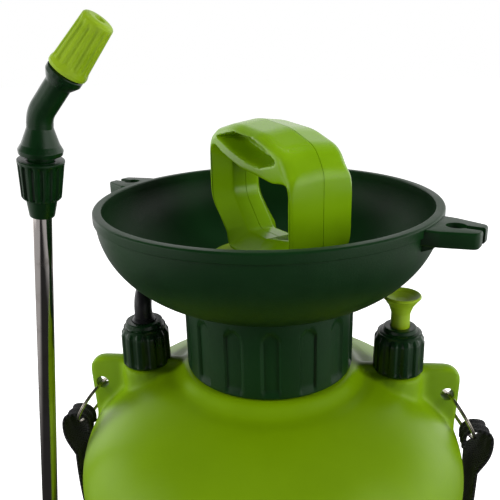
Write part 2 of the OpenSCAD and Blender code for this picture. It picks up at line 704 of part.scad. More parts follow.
module piston_head() {
    color(dark_green) difference() {
        union() {
            translate([0, 0, piston_z]) cylinder(r = cylinder_bore_r - 0.4, h = 5);
            translate([0, 0, piston_z]) cylinder(r = cylinder_bore_r - 3.2, h = piston_h);
            translate([0, 0, piston_z + piston_h - 5]) cylinder(r = cylinder_bore_r - 0.4, h = 5);
        }
        translate([0, 0, piston_z + 4]) cylinder(r = 4.05, h = piston_h);
        translate([0, 0, piston_z + piston_h - 8]) cylinder(r = rod_d / 2 + 0.05, h = 10);
    }
}

module piston_seal() {
    color(rubber_black) tube(cylinder_bore_r - 0.05, cylinder_bore_r - 3.1, piston_z + 5.2, piston_h - 10.4);
}

// ---- handle ----
// Handle frame: x across the hand, y up from the bottom of the loop, z towards the pocketed side
module handle_frame() {
    translate([0, 0, handle_z]) rotate([0, 0, handle_turn]) rotate([90, 0, 0]) children();
}

module handle_half(face) {
    // face is 1 for the half towards the pocket and -1 for the other
    difference() {
        handle_frame() translate([0, 0, face < 0 ? -handle_t / 2 : 0]) difference() {
            linear_extrude(handle_t / 2) difference() {
                polygon(rounded(handle_out, handle_out_r));
                polygon(rounded(handle_in, handle_in_r));
            }
            for (at = handle_screw_at) translate([at.x, at.y, -handle_t / 4 - 0.1 + (face < 0 ? handle_t / 2 : 0)])
                cylinder(r = screw_r + 0.1, h = handle_t / 3 + 0.2);
        }
        rod_section(handle_z - 5, rod_top_z - handle_z + 5.1, 0.05);
    }
}

module handle_front() { color(lime) handle_half(1); }
module handle_back() { color(lime) handle_half(-1); }

module handle_screws() {
    color(steel) handle_frame() for (at = handle_screw_at) translate([at.x, at.y, -handle_t / 4])
        cylinder(r = screw_r, h = handle_t / 3);
}

// ---- lance ----
module grip_outline(inset) {
    w = grip_w / 2 - inset;
    polygon(rounded([[-w + 2, inset], [w - 1, inset], [w - 3, grip_l * 0.4], [w, grip_l - 14],
                     [w - 3, grip_l - inset], [-w + 3, grip_l - inset], [-w, grip_l - 16],
                     [-w + 5, grip_l * 0.45]], [4, 6, 60, 8, 3, 3, 8, 30]));
}

module grip_half(face) {
    color(dark_green) on_lance() difference() {
        rotate([90, 0, 0]) translate([0, 0, face < 0 ? 0 : -grip_t / 2]) linear_extrude(grip_t / 2) grip_outline(0);
        rotate([90, 0, 0]) translate([0, 0, -grip_t / 2 + grip_wall]) linear_extrude(grip_t - 2 * grip_wall)
            grip_outline(grip_wall);
        translate([0, 0, grip_l - 20]) cylinder(r = 7.1, h = 40);
        trigger_window();
        inlet_axis() cylinder(r = 6.1, h = 60);
        for (w = [20, grip_l - 24]) translate([grip_screw_x, 0, w]) rotate([90, 0, 0])
            cylinder(r = screw_r + 0.1, h = 60, center = true);
        translate([trigger_pivot.x, 0, trigger_pivot.y]) rotate([90, 0, 0])
            cylinder(r = 1.5, h = 60, center = true);
        translate([grip_w / 2 - 4, -3.2, grip_l - 42]) cube([10, 6.4, 18]);
    }
}

module trigger_window() {
    translate([-grip_w / 2 - 6, -5, 18]) cube([grip_w / 2 + 2, 10, grip_l - 30]);
}

// The hose enters at the back of the grip's foot, turned up from level
module inlet_axis() {
    translate([0, 2, inlet_w]) rotate([-100, 0, 0]) children();
}

module grip_front() { grip_half(-1); }
module grip_back() { grip_half(1); }

module grip_screws() {
    color(steel) on_lance() for (w = [20, grip_l - 24]) translate([grip_screw_x, grip_t / 2 - 0.5, w]) rotate([90, 0, 0])
        cylinder(r = screw_r, h = grip_t - 3);
}

module valve_body() {
    color("#3a3d3a") on_lance() difference() {
        union() {
            translate([0, 0, 22]) cylinder(r = 5, h = valve_w - 22);
            translate([0, 0, valve_w - 8]) cylinder(r = 8, h = 22);
            translate([0, 0, valve_w + 10]) cylinder(r = 7, h = grip_l + 12 - valve_w - 10);
            intersection() {
                inlet_axis() translate([0, 0, -2]) cylinder(r = 5, h = 12);
                translate([-20, -20, 6]) cube([40, 40, 30]);
            }
            translate([0, 0, inlet_w - 6]) cylinder(r = 5, h = 16);
        }
        translate([0, 0, 18]) cylinder(r = 2, h = valve_w - 22);
        translate([0, 0, valve_w + 8]) cylinder(r = 2, h = 100);
        translate([stem_l / 4, 0, valve_w]) rotate([0, -90, 0]) cylinder(r = stem_r + run_gap, h = 20);
        translate([0, 0, grip_l + 4]) cylinder(r = wand_r + 0.05, h = 30);
    }
}

module valve_stem() {
    color("#d8dccf") on_lance(valve_w) translate([-3.2, 0, 0]) rotate([0, -90, 0]) cylinder(r = stem_r, h = stem_l);
}

module trigger() {
    p = trigger_pivot;
    pts = rounded([[p.x - 3.5, p.y - 6], [p.x + 3.2, p.y - 5], [p.x + 3.2, p.y + 4.5], [p.x - 5, p.y + 4.5],
                   [p.x - 10, p.y - 14], [p.x - 9, p.y - trigger_l + 8], [p.x - 15, p.y - trigger_l - 6],
                   [p.x - 10, p.y - trigger_l - 7], [p.x - 4, p.y - trigger_l + 10]],
                  [2, 2.5, 2.5, 3, 8, 10, 1, 2, 8]);
    color(lime) on_lance() difference() {
        rotate([90, 0, 0]) translate([0, 0, -4.6]) linear_extrude(9.2) polygon(pts);
        translate([p.x, 0, p.y]) rotate([90, 0, 0]) cylinder(r = 1.5 + run_gap, h = 40, center = true);
    }
}

module trigger_pin() {
    color(steel) on_lance() translate([trigger_pivot.x, grip_t / 2 - 1, trigger_pivot.y]) rotate([90, 0, 0])
        cylinder(r = 1.45, h = grip_t - 2);
}

module trigger_spring() {
    p = trigger_pivot;
    color(steel) on_lance(p.y - 47) translate([-5.3, 0, 0]) rotate([0, -90, 0]) coil_spring(3.2, 0.8, 11.2, 4);
}

module lock_slide() {
    color(lime) on_lance() translate([grip_w / 2 - 2.2, -3, grip_l - 38]) union() {
        cube([4, 6, 8]);
        translate([1.4, 0, 2]) cube([4, 6, 4]);
    }
}

module hose_nut() {
    color(dark_green) on_lance() inlet_axis() difference() {
        translate([0, 0, 16]) ribbed(8.4, 0, 14, 10, 2.4, 0.7);
        translate([0, 0, 15]) cylinder(r = hose_r + 0.1, h = 20);
    }
}

module inlet_barb() {
    color("#3a3d3a") on_lance() inlet_axis() translate([0, 0, 10.1]) difference() {
        union() {
            cylinder(r = 5, h = 5.6);
            cylinder(r = hose_r - 1.5, h = 18);
        }
        translate([0, 0, -1]) cylinder(r = 1.6, h = 30);
    }
}

// A tube nut: ribbed grip on the wide end and a plain tail on the other
module tube_nut(flip_over) {
    h = nut_l * 0.665;
    difference() {
        translate([0, 0, flip_over ? nut_l : 0]) mirror([0, 0, flip_over ? 1 : 0]) union() {
            ribbed(nut_big_r, nut_l - h, h - 1, 14, 2.6, 0.9);
            translate([0, 0, nut_l - 2.2]) cylinder(r = nut_big_r + 0.1, h = 2.2);
            cylinder(r1 = wand_r + 1.2, r2 = nut_tail_r, h = nut_l - h + 0.5);
        }
        translate([0, 0, -1]) cylinder(r = wand_r + 0.1, h = nut_l + 2);
    }
}

module wand_lower_nut() {
    color(dark_green) on_lance(lower_nut_w + 0.2) difference() {
        tube_nut(true);
        translate([0, 0, -1]) cylinder(r = 7.1, h = 13.2);
    }
}

module wand_tube() {
    color(steel) on_lance(wand_start + 0.2) tube(wand_r, wand_r - 1, 0, upper_nut_w - wand_start + nut_l - neck_in - 2.6);
}

module wand_upper_nut() {
    color(dark_green) on_lance(upper_nut_w) difference() {
        tube_nut(false);
        translate([0, 0, nut_l - neck_in - 2]) cylinder(r = elbow_neck_r + run_gap, h = 20);
    }
}

// The nozzle's axis starts where the elbow's bend ends
module on_nozzle(w = 0) {
    on_lance(upper_nut_top + elbow_rise) translate([elbow_turn_r, 0, 0]) rotate([0, nozzle_tilt, 0])
        translate([-elbow_turn_r, 0, w]) children();
}

module nozzle_elbow() {
    color(dark_green) {
        on_lance(upper_nut_top) difference() {
            union() {
                translate([0, 0, -neck_in]) cylinder(r = elbow_neck_r, h = elbow_rise + neck_in);
                translate([0, 0, 2.4]) rotate_extrude() polygon([[0, 0], [skirt_r - 0.2, 0], [skirt_r, 1.8],
                    [skirt_r - 1.4, 4.6], [elbow_neck_r + 0.6, 9.6], [elbow_neck_r - 0.02, 11], [0, 11]]);
            }
            translate([0, 0, -neck_in - 1]) cylinder(r = 2.2, h = elbow_rise + neck_in - 4);
        }
        on_lance(upper_nut_top + elbow_rise) translate([elbow_turn_r, 0, 0]) rotate([90, 0, 0])
            rotate([0, 0, 178 - nozzle_tilt]) rotate_extrude(angle = nozzle_tilt + 4)
                translate([elbow_turn_r, 0]) circle(r = elbow_neck_r - 0.05);
        on_nozzle() {
            cylinder(r = elbow_neck_r, h = collar_at + 2);
            translate([0, 0, collar_at - 3]) cylinder(r1 = elbow_neck_r - 0.02, r2 = collar_nozzle_r - 0.4, h = 3);
            translate([0, 0, collar_at]) cylinder(r = collar_nozzle_r, h = 3);
            difference() {
                translate([0, 0, collar_at + 2.5]) cylinder(r = nozzle_spigot_r, h = 14);
                tube(nozzle_spigot_r + 1, nozzle_spigot_r - 1.7, collar_at + 7.5, 2.2);
            }
        }
    }
}

module elbow_seal() {
    color(rubber_black) on_lance(upper_nut_top - neck_in - 1.9) tube(elbow_neck_r - 0.2, 2.4, 0, 1.8);
}

module spray_insert() {
    color("#d8dccf") on_nozzle(collar_at + 16.6) difference() {
        cylinder(r = 3.8, h = 4);
        for (a = [0:120:240]) rotate(a) translate([2.4, 0, -1]) cylinder(r = 0.7, h = 7);
    }
}

module nozzle_ring() {
    color(rubber_black) on_nozzle(collar_at + 8.6) rotate_extrude()
        translate([nozzle_spigot_r - 0.7, 0]) circle(d = 1.9, $fn = 16);
}

module nozzle_cap() {
    z0 = collar_at + 3.3;
    color(lime) on_nozzle(z0) difference() {
        union() {
            cylinder(r1 = nozzle_r, r2 = nozzle_r - 1.4, h = nozzle_l);
            cylinder(r = nozzle_r + 0.7, h = 2.6);
            for (i = [0:13]) rotate(360 * i / 14) rotate([90, 0, 0]) translate([0, 0, -0.9]) linear_extrude(1.8)
                polygon([[5, 0.5], [nozzle_r + 0.6, 0.5], [nozzle_r - 0.9, nozzle_l - 2], [5, nozzle_l - 2]]);
        }
        translate([0, 0, -1]) cylinder(r = nozzle_spigot_r + seat_gap, h = 15);
        translate([0, 0, -1]) cylinder(r = 4.2, h = nozzle_l - 2);
        cylinder(r = 1, h = nozzle_l + 2);
    }
}

tank_shell();
base_foot();
funnel();
neck_gasket();
outlet_nut();
outlet_seal();
outlet_elbow();
hose_clamp();
dip_tube();
dip_strainer();
relief_nut();
relief_port_seal();
relief_seat();
relief_disc();
relief_button();
relief_spring();
strap_ring_left();
strap_ring_right();
strap();
strap_slider();
lance_holder();
holder_screws();
hose();
hose_coil();
pump_cap();
cap_seal();
pump_cylinder();
check_valve();
cylinder_foot();
rod_guide();
pump_rod();
piston_head();
piston_seal();
handle_front();
handle_back();
handle_screws();
grip_front();
grip_back();
grip_screws();
valve_body();
valve_stem();
trigger();
trigger_pin();
trigger_spring();
lock_slide();
inlet_barb();
hose_nut();
wand_lower_nut();
wand_tube();
wand_upper_nut();
nozzle_elbow();
elbow_seal();
spray_insert();
nozzle_ring();
nozzle_cap();
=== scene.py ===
import json
import math

import bpy
from mathutils import Matrix, Vector


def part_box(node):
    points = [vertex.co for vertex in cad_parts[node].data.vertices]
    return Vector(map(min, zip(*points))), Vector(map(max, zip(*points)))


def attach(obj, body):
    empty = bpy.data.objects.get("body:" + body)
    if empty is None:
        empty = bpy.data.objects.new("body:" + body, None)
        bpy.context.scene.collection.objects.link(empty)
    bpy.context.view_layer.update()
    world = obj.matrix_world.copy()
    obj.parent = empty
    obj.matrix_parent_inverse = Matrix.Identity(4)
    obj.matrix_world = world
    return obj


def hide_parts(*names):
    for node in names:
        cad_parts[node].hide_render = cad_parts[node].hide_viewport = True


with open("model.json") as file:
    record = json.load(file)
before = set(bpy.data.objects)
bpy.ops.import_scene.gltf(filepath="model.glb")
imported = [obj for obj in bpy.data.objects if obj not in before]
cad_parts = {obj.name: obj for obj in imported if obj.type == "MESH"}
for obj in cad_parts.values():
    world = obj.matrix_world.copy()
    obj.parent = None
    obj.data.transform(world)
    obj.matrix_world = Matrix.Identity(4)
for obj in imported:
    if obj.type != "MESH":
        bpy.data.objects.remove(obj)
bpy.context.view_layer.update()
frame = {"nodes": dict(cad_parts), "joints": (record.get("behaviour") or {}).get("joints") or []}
mm = 0.001
fullTurn = 2 * math.pi
quarterTurn = math.pi / 2
print("frame loaded:", len(frame["nodes"]), "nodes")


# ---- places that the frame gives ----
def low(node):
    return Vector(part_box(node)[0]) / mm


def high(node):
    return Vector(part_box(node)[1]) / mm


def joint(name):
    return next(j for j in frame["joints"] if j["name"] == name)


rimZ = high("funnel").z
neckTopZ = high("tank_shell").z
collarZ = low("funnel").z
capTopZ = high("pump_cap").z
handleZ = low("handle_front").z
portX = (low("relief_nut").x + high("relief_nut").x) / 2
nutFootZ = low("relief_nut").z
nutTopZ = high("relief_nut").z


# ---- making shapes ----
def pickOnly(piece):
    bpy.ops.object.select_all(action="DESELECT")
    piece.select_set(True)
    bpy.context.view_layer.objects.active = piece


def edit(piece):
    pickOnly(piece)
    bpy.ops.object.mode_set(mode="EDIT")
    bpy.ops.mesh.select_all(action="SELECT")


def doneEditing():
    bpy.ops.object.mode_set(mode="OBJECT")


def mend(piece, distance=0.01):  # joins doubled points and turns the faces outwards
    edit(piece)
    bpy.ops.mesh.remove_doubles(threshold=distance * mm)
    bpy.ops.mesh.select_all(action="SELECT")
    bpy.ops.mesh.normals_make_consistent(inside=False)
    doneEditing()


def smooth(piece, angle=38):
    pickOnly(piece)
    bpy.ops.object.shade_smooth_by_angle(angle=math.radians(angle))
    return piece


def apply(piece, kind, **settings):
    pickOnly(piece)
    modifier = piece.modifiers.new(kind.lower(), kind)
    for key, value in settings.items():
        setattr(modifier, key, value)
    bpy.ops.object.modifier_apply(modifier=modifier.name)
    return piece


def bevel(piece, width, segments=3, angle=30):
    return apply(piece, "BEVEL", width=width * mm, segments=segments, limit_method="ANGLE",
                 angle_limit=math.radians(angle), use_clamp_overlap=True)


def combine(piece, tool, operation):
    apply(piece, "BOOLEAN", object=tool, operation=operation, solver="EXACT")
    bpy.data.objects.remove(tool)
    return piece


def cut(piece, tool):
    return combine(piece, tool, "DIFFERENCE")


def weld(piece, tool):
    return combine(piece, tool, "UNION")


def joinTo(piece, *others):  # one object made of several closed shapes
    pickOnly(piece)
    for other in others:
        other.select_set(True)
    bpy.ops.object.join()
    return piece


def place(piece, matrix):
    piece.data.transform(matrix)
    piece.data.update()
    return piece


def arcCorner(before, point, after, radius, steps=6):
    toBefore = (before - point).normalized()
    toAfter = (after - point).normalized()
    half = toBefore.angle(toAfter) / 2
    middle = point + (toBefore + toAfter).normalized() * radius / math.sin(half)
    start = point + toBefore * radius / math.tan(half) - middle
    end = point + toAfter * radius / math.tan(half) - middle
    startAngle = math.atan2(start.y, start.x)
    turn = (math.atan2(end.y, end.x) - startAngle + 3 * math.pi) % fullTurn - math.pi
    angles = [startAngle + turn * i / steps for i in range(steps + 1)]
    return [middle + radius * Vector((math.cos(angle), math.sin(angle))) for angle in angles]


def softOutline(corners, closed=True, steps=6):  # corners are (x, y) or (x, y, radius)
    points = []
    count = len(corners)
    for i, corner in enumerate(corners):
        here = Vector(corner[:2])
        atEnd = not closed and i in (0, count - 1)
        if len(corner) < 3 or atEnd:
            points.append(here)
            continue
        before = Vector(corners[(i - 1) % count][:2])
        after = Vector(corners[(i + 1) % count][:2])
        points += arcCorner(before, here, after, corner[2], steps)
    return points


def drawPath(name, points, closed=False):  # one point extruded along a path
    bpy.ops.object.select_all(action="DESELECT")
    bpy.ops.mesh.primitive_plane_add(size=mm, location=(0, 0, 0))
    piece = bpy.context.object
    piece.name = name
    piece.data.name = name
    bpy.ops.object.mode_set(mode="EDIT")
    bpy.ops.mesh.select_all(action="SELECT")
    bpy.ops.mesh.merge(type="CENTER")
    bpy.ops.transform.translate(value=points[0] * mm)
    stops = list(points[1:]) + ([points[0]] if closed else [])
    last = points[0]
    for stop in stops:
        bpy.ops.mesh.extrude_vertices_move(TRANSFORM_OT_translate={"value": (stop - last) * mm})
        last = stop
    if closed:
        bpy.ops.mesh.select_all(action="SELECT")
        bpy.ops.mesh.remove_doubles(threshold=0.001 * mm)
    return piece


def turned(name, outline, steps=96, closed=True):  # an outline of (radius, height) spun round Z
    piece = drawPath(name, [Vector((p[0], 0, p[1])) for p in outline], closed)
    bpy.ops.mesh.select_all(action="SELECT")
    bpy.ops.mesh.spin(steps=steps, angle=fullTurn, center=(0, 0, 0), axis=(0, 0, 1))
    doneEditing()
    mend(piece, 0.004)
    return piece


def slab(name, outline, bottom, top):  # an outline of (x, y) raised from bottom to top
    piece = drawPath(name, [Vector((p[0], p[1], bottom)) for p in outline], True)
    bpy.ops.mesh.select_all(action="SELECT")
    bpy.ops.mesh.edge_face_add()
    bpy.ops.mesh.extrude_region_move(TRANSFORM_OT_translate={"value": (0, 0, (top - bottom) * mm)})
    doneEditing()
    mend(piece, 0.001)
    return piece


def drum(radius, bottom, top, sides=64, at=(0, 0)):  # a plain round cutter or core
    bpy.ops.object.select_all(action="DESELECT")
    bpy.ops.mesh.primitive_cylinder_add(vertices=sides, radius=radius * mm, depth=(top - bottom) * mm,
                                        location=(at[0] * mm, at[1] * mm, (bottom + top) / 2 * mm))
    piece = bpy.context.object
    place(piece, piece.matrix_world.copy())
    piece.matrix_world = Matrix.Identity(4)
    return piece


def fluted(piece, bands):  # moves points in or out by a rule of angle, radius and height
    for vertex in piece.data.vertices:
        radius = math.hypot(vertex.co.x, vertex.co.y) / mm
        if radius > 1e-6:
            moved = bands(math.atan2(vertex.co.y, vertex.co.x), radius, vertex.co.z / mm)
            vertex.co.x *= moved / radius
            vertex.co.y *= moved / radius
    piece.data.update()
    return piece


def ease(value, start, end):  # 0 before start, 1 after end
    share = min(1, max(0, (value - start) / (end - start)))
    return share * share * (3 - 2 * share)


def wrapAngle(angle, pitch):  # distance in radians to the middle of the nearest pitch
    return abs((angle + pitch / 2) % pitch - pitch / 2)


def withLevels(outline, least, smallest, parts):  # adds points up the long walls, for ribs to follow
    tall = []
    for here, after in zip(outline, outline[1:] + outline[:1]):
        tall.append(here)
        if abs(after.y - here.y) > least and here.x > smallest and after.x > smallest:
            tall += [here.lerp(after, k / parts) for k in range(1, parts)]
    return tall


def standUp(piece):  # an outline drawn flat becomes one that stands in the XZ plane
    return place(piece, Matrix.Rotation(quarterTurn, 4, "X"))


def ridgeAt(angle, radius, count):  # distance along the wall to the nearest of count ribs
    return wrapAngle(angle, fullTurn / count) * radius


def inBand(height, foot, footEnd, top, topEnd):  # 1 between two heights, fading out at both
    return ease(height, foot, footEnd) * (1 - ease(height, top, topEnd))


def halve(whole, halves, normal, gap, body, slotName, matrix):  # two shells, a seam apart
    for name, node, clear in halves:
        pickOnly(whole)
        bpy.ops.object.duplicate()
        half = bpy.context.object
        half.name = name
        edit(half)
        seam = normal * gap * mm * (1 if clear else -1)
        bpy.ops.mesh.bisect(plane_co=seam, plane_no=normal, use_fill=True, clear_inner=clear,
                            clear_outer=not clear)
        doneEditing()
        bevel(half, 0.4, 2, 60)
        place(half, matrix)
        smooth(half, 40)
        keep(half, body, slotName, node)
    bpy.data.objects.remove(whole)


def keep(piece, body, slotName, *nodes):  # the piece's body, finish and the nodes it stands for
    piece.data.materials.clear()
    piece.data.materials.append(finishes[slotName])
    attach(piece, body)
    if nodes:
        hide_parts(*nodes)
    return piece


# ---- making materials ----
class Wire:  # one socket of a material, with sums written as Python
    def __init__(self, recipe, socket):
        self.recipe = recipe
        self.socket = socket

    def maths(self, operation, other=0.0, first=False):
        values = (other, self) if first else (self, other)
        return self.recipe.add("ShaderNodeMath", {"operation": operation}, *values)

    def __add__(self, other):
        return self.maths("ADD", other)

    def __sub__(self, other):
        return self.maths("SUBTRACT", other)

    def __mul__(self, other):
        return self.maths("MULTIPLY", other)

    def __radd__(self, other):
        return self.maths("ADD", other, True)

    def __rsub__(self, other):
        return self.maths("SUBTRACT", other, True)

    def __rmul__(self, other):
        return self.maths("MULTIPLY", other, True)

    def __abs__(self):
        return self.maths("ABSOLUTE")

    def sine(self):
        return self.maths("SINE")

    def between(self, start, end):  # 0 at start and 1 at end
        return self.recipe.add("ShaderNodeMapRange", {"interpolation_type": "SMOOTHSTEP"},
                               Value=self, **{"From Min": start, "From Max": end})

    def part(self, name):
        return Wire(self.recipe, self.socket.node.outputs[name])


class Recipe:
    def __init__(self, name, world=None):
        self.owner = world or bpy.data.materials.new(name)
        self.owner.use_nodes = True
        self.tree = self.owner.node_tree
        self.tree.nodes.clear()
        kind = "ShaderNodeOutputWorld" if world else "ShaderNodeOutputMaterial"
        self.out = self.tree.nodes.new(kind)

    def link(self, value, socket):
        if isinstance(value, Wire):
            self.tree.links.new(value.socket, socket)
        else:
            socket.default_value = value

    def add(self, kind, settings=None, *values, **named):
        node = self.tree.nodes.new(kind)
        for key, value in (settings or {}).items():
            setattr(node, key, value)
        for socket, value in zip(node.inputs, values):
            self.link(value, socket)
        for key, value in named.items():
            self.link(value, node.inputs[key])
        return Wire(self, next(s for s in node.outputs if s.enabled))

    def spot(self, kind="Object", scale=None, turn=None):
        where = self.add("ShaderNodeTexCoord").part(kind)
        if scale is None and turn is None:
            return where
        return self.add("ShaderNodeMapping", None, Vector=where, Scale=scale or (1, 1, 1),
                        Rotation=turn or (0, 0, 0))

    def grain(self, size, where=None, detail=3.0, roughness=0.55):  # cloudy noise, size in metres
        return self.add("ShaderNodeTexNoise", None, Vector=where or self.spot(), Scale=1 / size,
                        Detail=detail, Roughness=roughness)

    def blend(self, share, one, two):
        node = self.tree.nodes.new("ShaderNodeMix")
        node.data_type = "RGBA"
        self.link(share, node.inputs[0])
        self.link(one, node.inputs[6])
        self.link(two, node.inputs[7])
        return Wire(self, node.outputs[2])

    def bump(self, height, strength, depth=0.001, normal=None):
        named = {"Height": height, "Strength": strength, "Distance": depth}
        if normal is not None:
            named["Normal"] = normal
        return self.add("ShaderNodeBump", None, **named)

    def surface(self, **named):
        sockets = {key.replace("_", " "): value for key, value in named.items()}
        return self.finish(self.add("ShaderNodeBsdfPrincipled", None, **sockets))

    def finish(self, shader):
        self.tree.links.new(shader.socket, self.out.inputs["Surface"])
        return self.owner


def colour(red, green, blue):
    return (red, green, blue, 1)


def mouldedPlastic(name, look):  # satin or glossy moulding with grain, flow and fine scratches
    recipe = Recipe(name)
    cloud = recipe.grain(look["cloudSize"], detail=4.0)
    fine = recipe.grain(look["grainSize"], detail=2.0, roughness=0.7)
    scratches = recipe.grain(0.004, recipe.spot(scale=(9, 1.4, 0.7), turn=(0.4, 0.2, 0.8)), detail=6.0,
                             roughness=0.8)
    scuffed = scratches.between(0.62, 0.78)
    tone = recipe.blend(cloud.between(0.3, 0.7), look["deep"], look["bright"])
    tone = recipe.blend(scuffed * look["wear"], tone, look["worn"])
    gloss = cloud.between(0.35, 0.65) * look["glossSpread"] + look["roughness"] + scuffed * 0.08
    height = recipe.bump(fine, look["grainDepth"], 0.0004)
    height = recipe.bump(cloud, look["waveDepth"], 0.0015, height)
    return recipe.surface(Base_Color=tone, Roughness=gloss, Normal=height,
                          Specular_IOR_Level=look["shine"])


def hoseRubber():
    recipe = Recipe("hoseRubber")
    dust = recipe.grain(0.012, detail=6.0)
    fine = recipe.grain(0.0006)
    tone = recipe.blend(dust.between(0.45, 0.75), colour(0.008, 0.008, 0.009),
                        colour(0.02, 0.02, 0.021))
    return recipe.surface(Base_Color=tone, Roughness=dust * 0.2 + 0.36,
                          Normal=recipe.bump(fine, 0.2, 0.0003))


def sealRubber():
    recipe = Recipe("sealRubber")
    fine = recipe.grain(0.0007, detail=5.0)
    tone = recipe.blend(fine, colour(0.008, 0.008, 0.008), colour(0.022, 0.022, 0.022))
    return recipe.surface(Base_Color=tone, Roughness=fine * 0.2 + 0.55,
                          Normal=recipe.bump(fine, 0.3, 0.0003))


def platedSteel(name, tone, dull, roughness):  # bright plating with drawn lines and dull patches
    recipe = Recipe(name)
    lines = recipe.grain(0.0008, recipe.spot(scale=(1, 1, 0.06)), detail=4.0)
    patches = recipe.grain(0.009, detail=5.0).between(0.5, 0.75)
    shade = recipe.blend(patches * 0.5, tone, dull)
    gloss = patches * 0.12 + lines * 0.06 + roughness
    return recipe.surface(Base_Color=shade, Metallic=1.0, Roughness=gloss,
                          Normal=recipe.bump(lines, 0.06, 0.0002))


def woven():  # flat webbing in a herringbone of fine yarns, along its own UV map, with painted shade in the weave's grooves
    recipe = Recipe("webbing")
    uv = recipe.add("ShaderNodeSeparateXYZ", None, recipe.spot("UV"))
    across = uv.part("X") * webbing["yarnsAcross"]
    along = uv.part("Y") * webbing["yarnsAlong"]
    zigzag = abs(recipe.add("ShaderNodeMath", {"operation": "PINGPONG"}, across, 4.0))
    rib = ((along + zigzag) * math.pi).sine()
    yarn = (across * fullTurn).sine()
    fuzz = recipe.grain(0.0005, detail=5.0)
    height = rib * 0.6 + yarn * 0.25 + fuzz * 0.5
    # painted shade and painted highlight: the colour follows the weave's bump height, dark in the
    # grooves and lighter on the raised yarns
    tone = recipe.blend(height.between(-0.4, 1.2), colour(0.0012, 0.0012, 0.0015),
                        colour(0.011, 0.011, 0.012))
    return recipe.surface(Base_Color=tone, Roughness=fuzz * 0.15 + 0.72, Sheen_Weight=0.08,
                          Sheen_Roughness=0.5, Normal=recipe.bump(height, 0.7, 0.0006))


webbing = {"yarnsAcross": 32, "yarnsAlong": 560, "width": 25, "thickness": 1.8}
finishes = {
    "tank_green": mouldedPlastic("limeSatin", {
        "deep": colour(0.155, 0.285, 0.0004), "bright": colour(0.18, 0.325, 0.0008),
        "worn": colour(0.26, 0.4, 0.02), "cloudSize": 0.06, "grainSize": 0.0011, "roughness": 0.33,
        "glossSpread": 0.05, "grainDepth": 0.1, "waveDepth": 0.16, "wear": 0.05, "shine": 0.34}),
    "handle_green": mouldedPlastic("limeGloss", {
        "deep": colour(0.165, 0.325, 0.001), "bright": colour(0.19, 0.365, 0.002),
        "worn": colour(0.28, 0.45, 0.03), "cloudSize": 0.03, "grainSize": 0.0009, "roughness": 0.2,
        "glossSpread": 0.06, "grainDepth": 0.04, "waveDepth": 0.1, "wear": 0.05, "shine": 0.45}),
    "cap_green": mouldedPlastic("limeCap", {
        "deep": colour(0.22, 0.35, 0.006), "bright": colour(0.26, 0.4, 0.01),
        "worn": colour(0.36, 0.5, 0.05), "cloudSize": 0.012, "grainSize": 0.0007, "roughness": 0.36,
        "glossSpread": 0.06, "grainDepth": 0.12, "waveDepth": 0.08, "wear": 0.06, "shine": 0.4}),
    "dark_plastic": mouldedPlastic("funnelGreen", {
        "deep": colour(0.0016, 0.019, 0.0028), "bright": colour(0.003, 0.027, 0.0045),
        "worn": colour(0.012, 0.05, 0.018), "cloudSize": 0.035, "grainSize": 0.0008,
        "roughness": 0.4, "glossSpread": 0.07, "grainDepth": 0.22, "waveDepth": 0.1, "wear": 0.14,
        "shine": 0.36}),
    "nut_plastic": mouldedPlastic("nutGreen", {
        "deep": colour(0.0015, 0.016, 0.0028), "bright": colour(0.0028, 0.023, 0.0045),
        "worn": colour(0.01, 0.04, 0.015), "cloudSize": 0.014, "grainSize": 0.0007,
        "roughness": 0.27, "glossSpread": 0.06, "grainDepth": 0.1, "waveDepth": 0.06, "wear": 0.1,
        "shine": 0.5}),
    "black_plastic": mouldedPlastic("blackPlastic", {
        "deep": colour(0.006, 0.006, 0.007), "bright": colour(0.012, 0.012, 0.013),
        "worn": colour(0.05, 0.05, 0.05), "cloudSize": 0.012, "grainSize": 0.0006,
        "roughness": 0.34, "glossSpread": 0.08, "grainDepth": 0.16, "waveDepth": 0.06, "wear": 0.15,
        "shine": 0.5}),
    "pale_plastic": mouldedPlastic("palePlastic", {
        "deep": colour(0.62, 0.64, 0.56), "bright": colour(0.72, 0.73, 0.66),
        "worn": colour(0.8, 0.8, 0.76), "cloudSize": 0.02, "grainSize": 0.0008, "roughness": 0.34,
        "glossSpread": 0.08, "grainDepth": 0.08, "waveDepth": 0.08, "wear": 0.1, "shine": 0.5}),
    "hose_rubber": hoseRubber(), "seal_rubber": sealRubber(),
    "tube_chrome": platedSteel("chromeTube", colour(0.56, 0.52, 0.5), colour(0.36, 0.32, 0.3), 0.06),
    "ring_steel": platedSteel("ringSteel", colour(0.6, 0.56, 0.47), colour(0.3, 0.26, 0.2), 0.16),
    "screw_steel": platedSteel("screwSteel", colour(0.6, 0.6, 0.6), colour(0.32, 0.31, 0.3), 0.3),
    "webbing": woven()}
print("materials made")


# ---- camera: an eye a little above the rim, looking slightly down ----
view = {"place": (23.66, -281.81, rimZ + 69.24), "look": (-0.10889, 0.94085, -0.32086),
        "roll": -0.0262989, "lens": 43.2}
look = Vector(view["look"]).normalized()
side = look.cross(Vector((0, 0, 1))).normalized()
over = side.cross(look)
across = math.cos(view["roll"]) * side + math.sin(view["roll"]) * over
upward = math.cos(view["roll"]) * over - math.sin(view["roll"]) * side
cameraData = bpy.data.cameras.new("camera")
cameraData.lens = view["lens"]
cameraData.sensor_width = 36
cameraData.clip_start = 0.01
camera = bpy.data.objects.new("camera", cameraData)
bpy.context.collection.objects.link(camera)
cameraTurn = Matrix((across, upward, -look)).transposed().to_4x4()
camera.matrix_world = Matrix.Translation(Vector(view["place"]) * mm) @ cameraTurn
bpy.context.scene.camera = camera


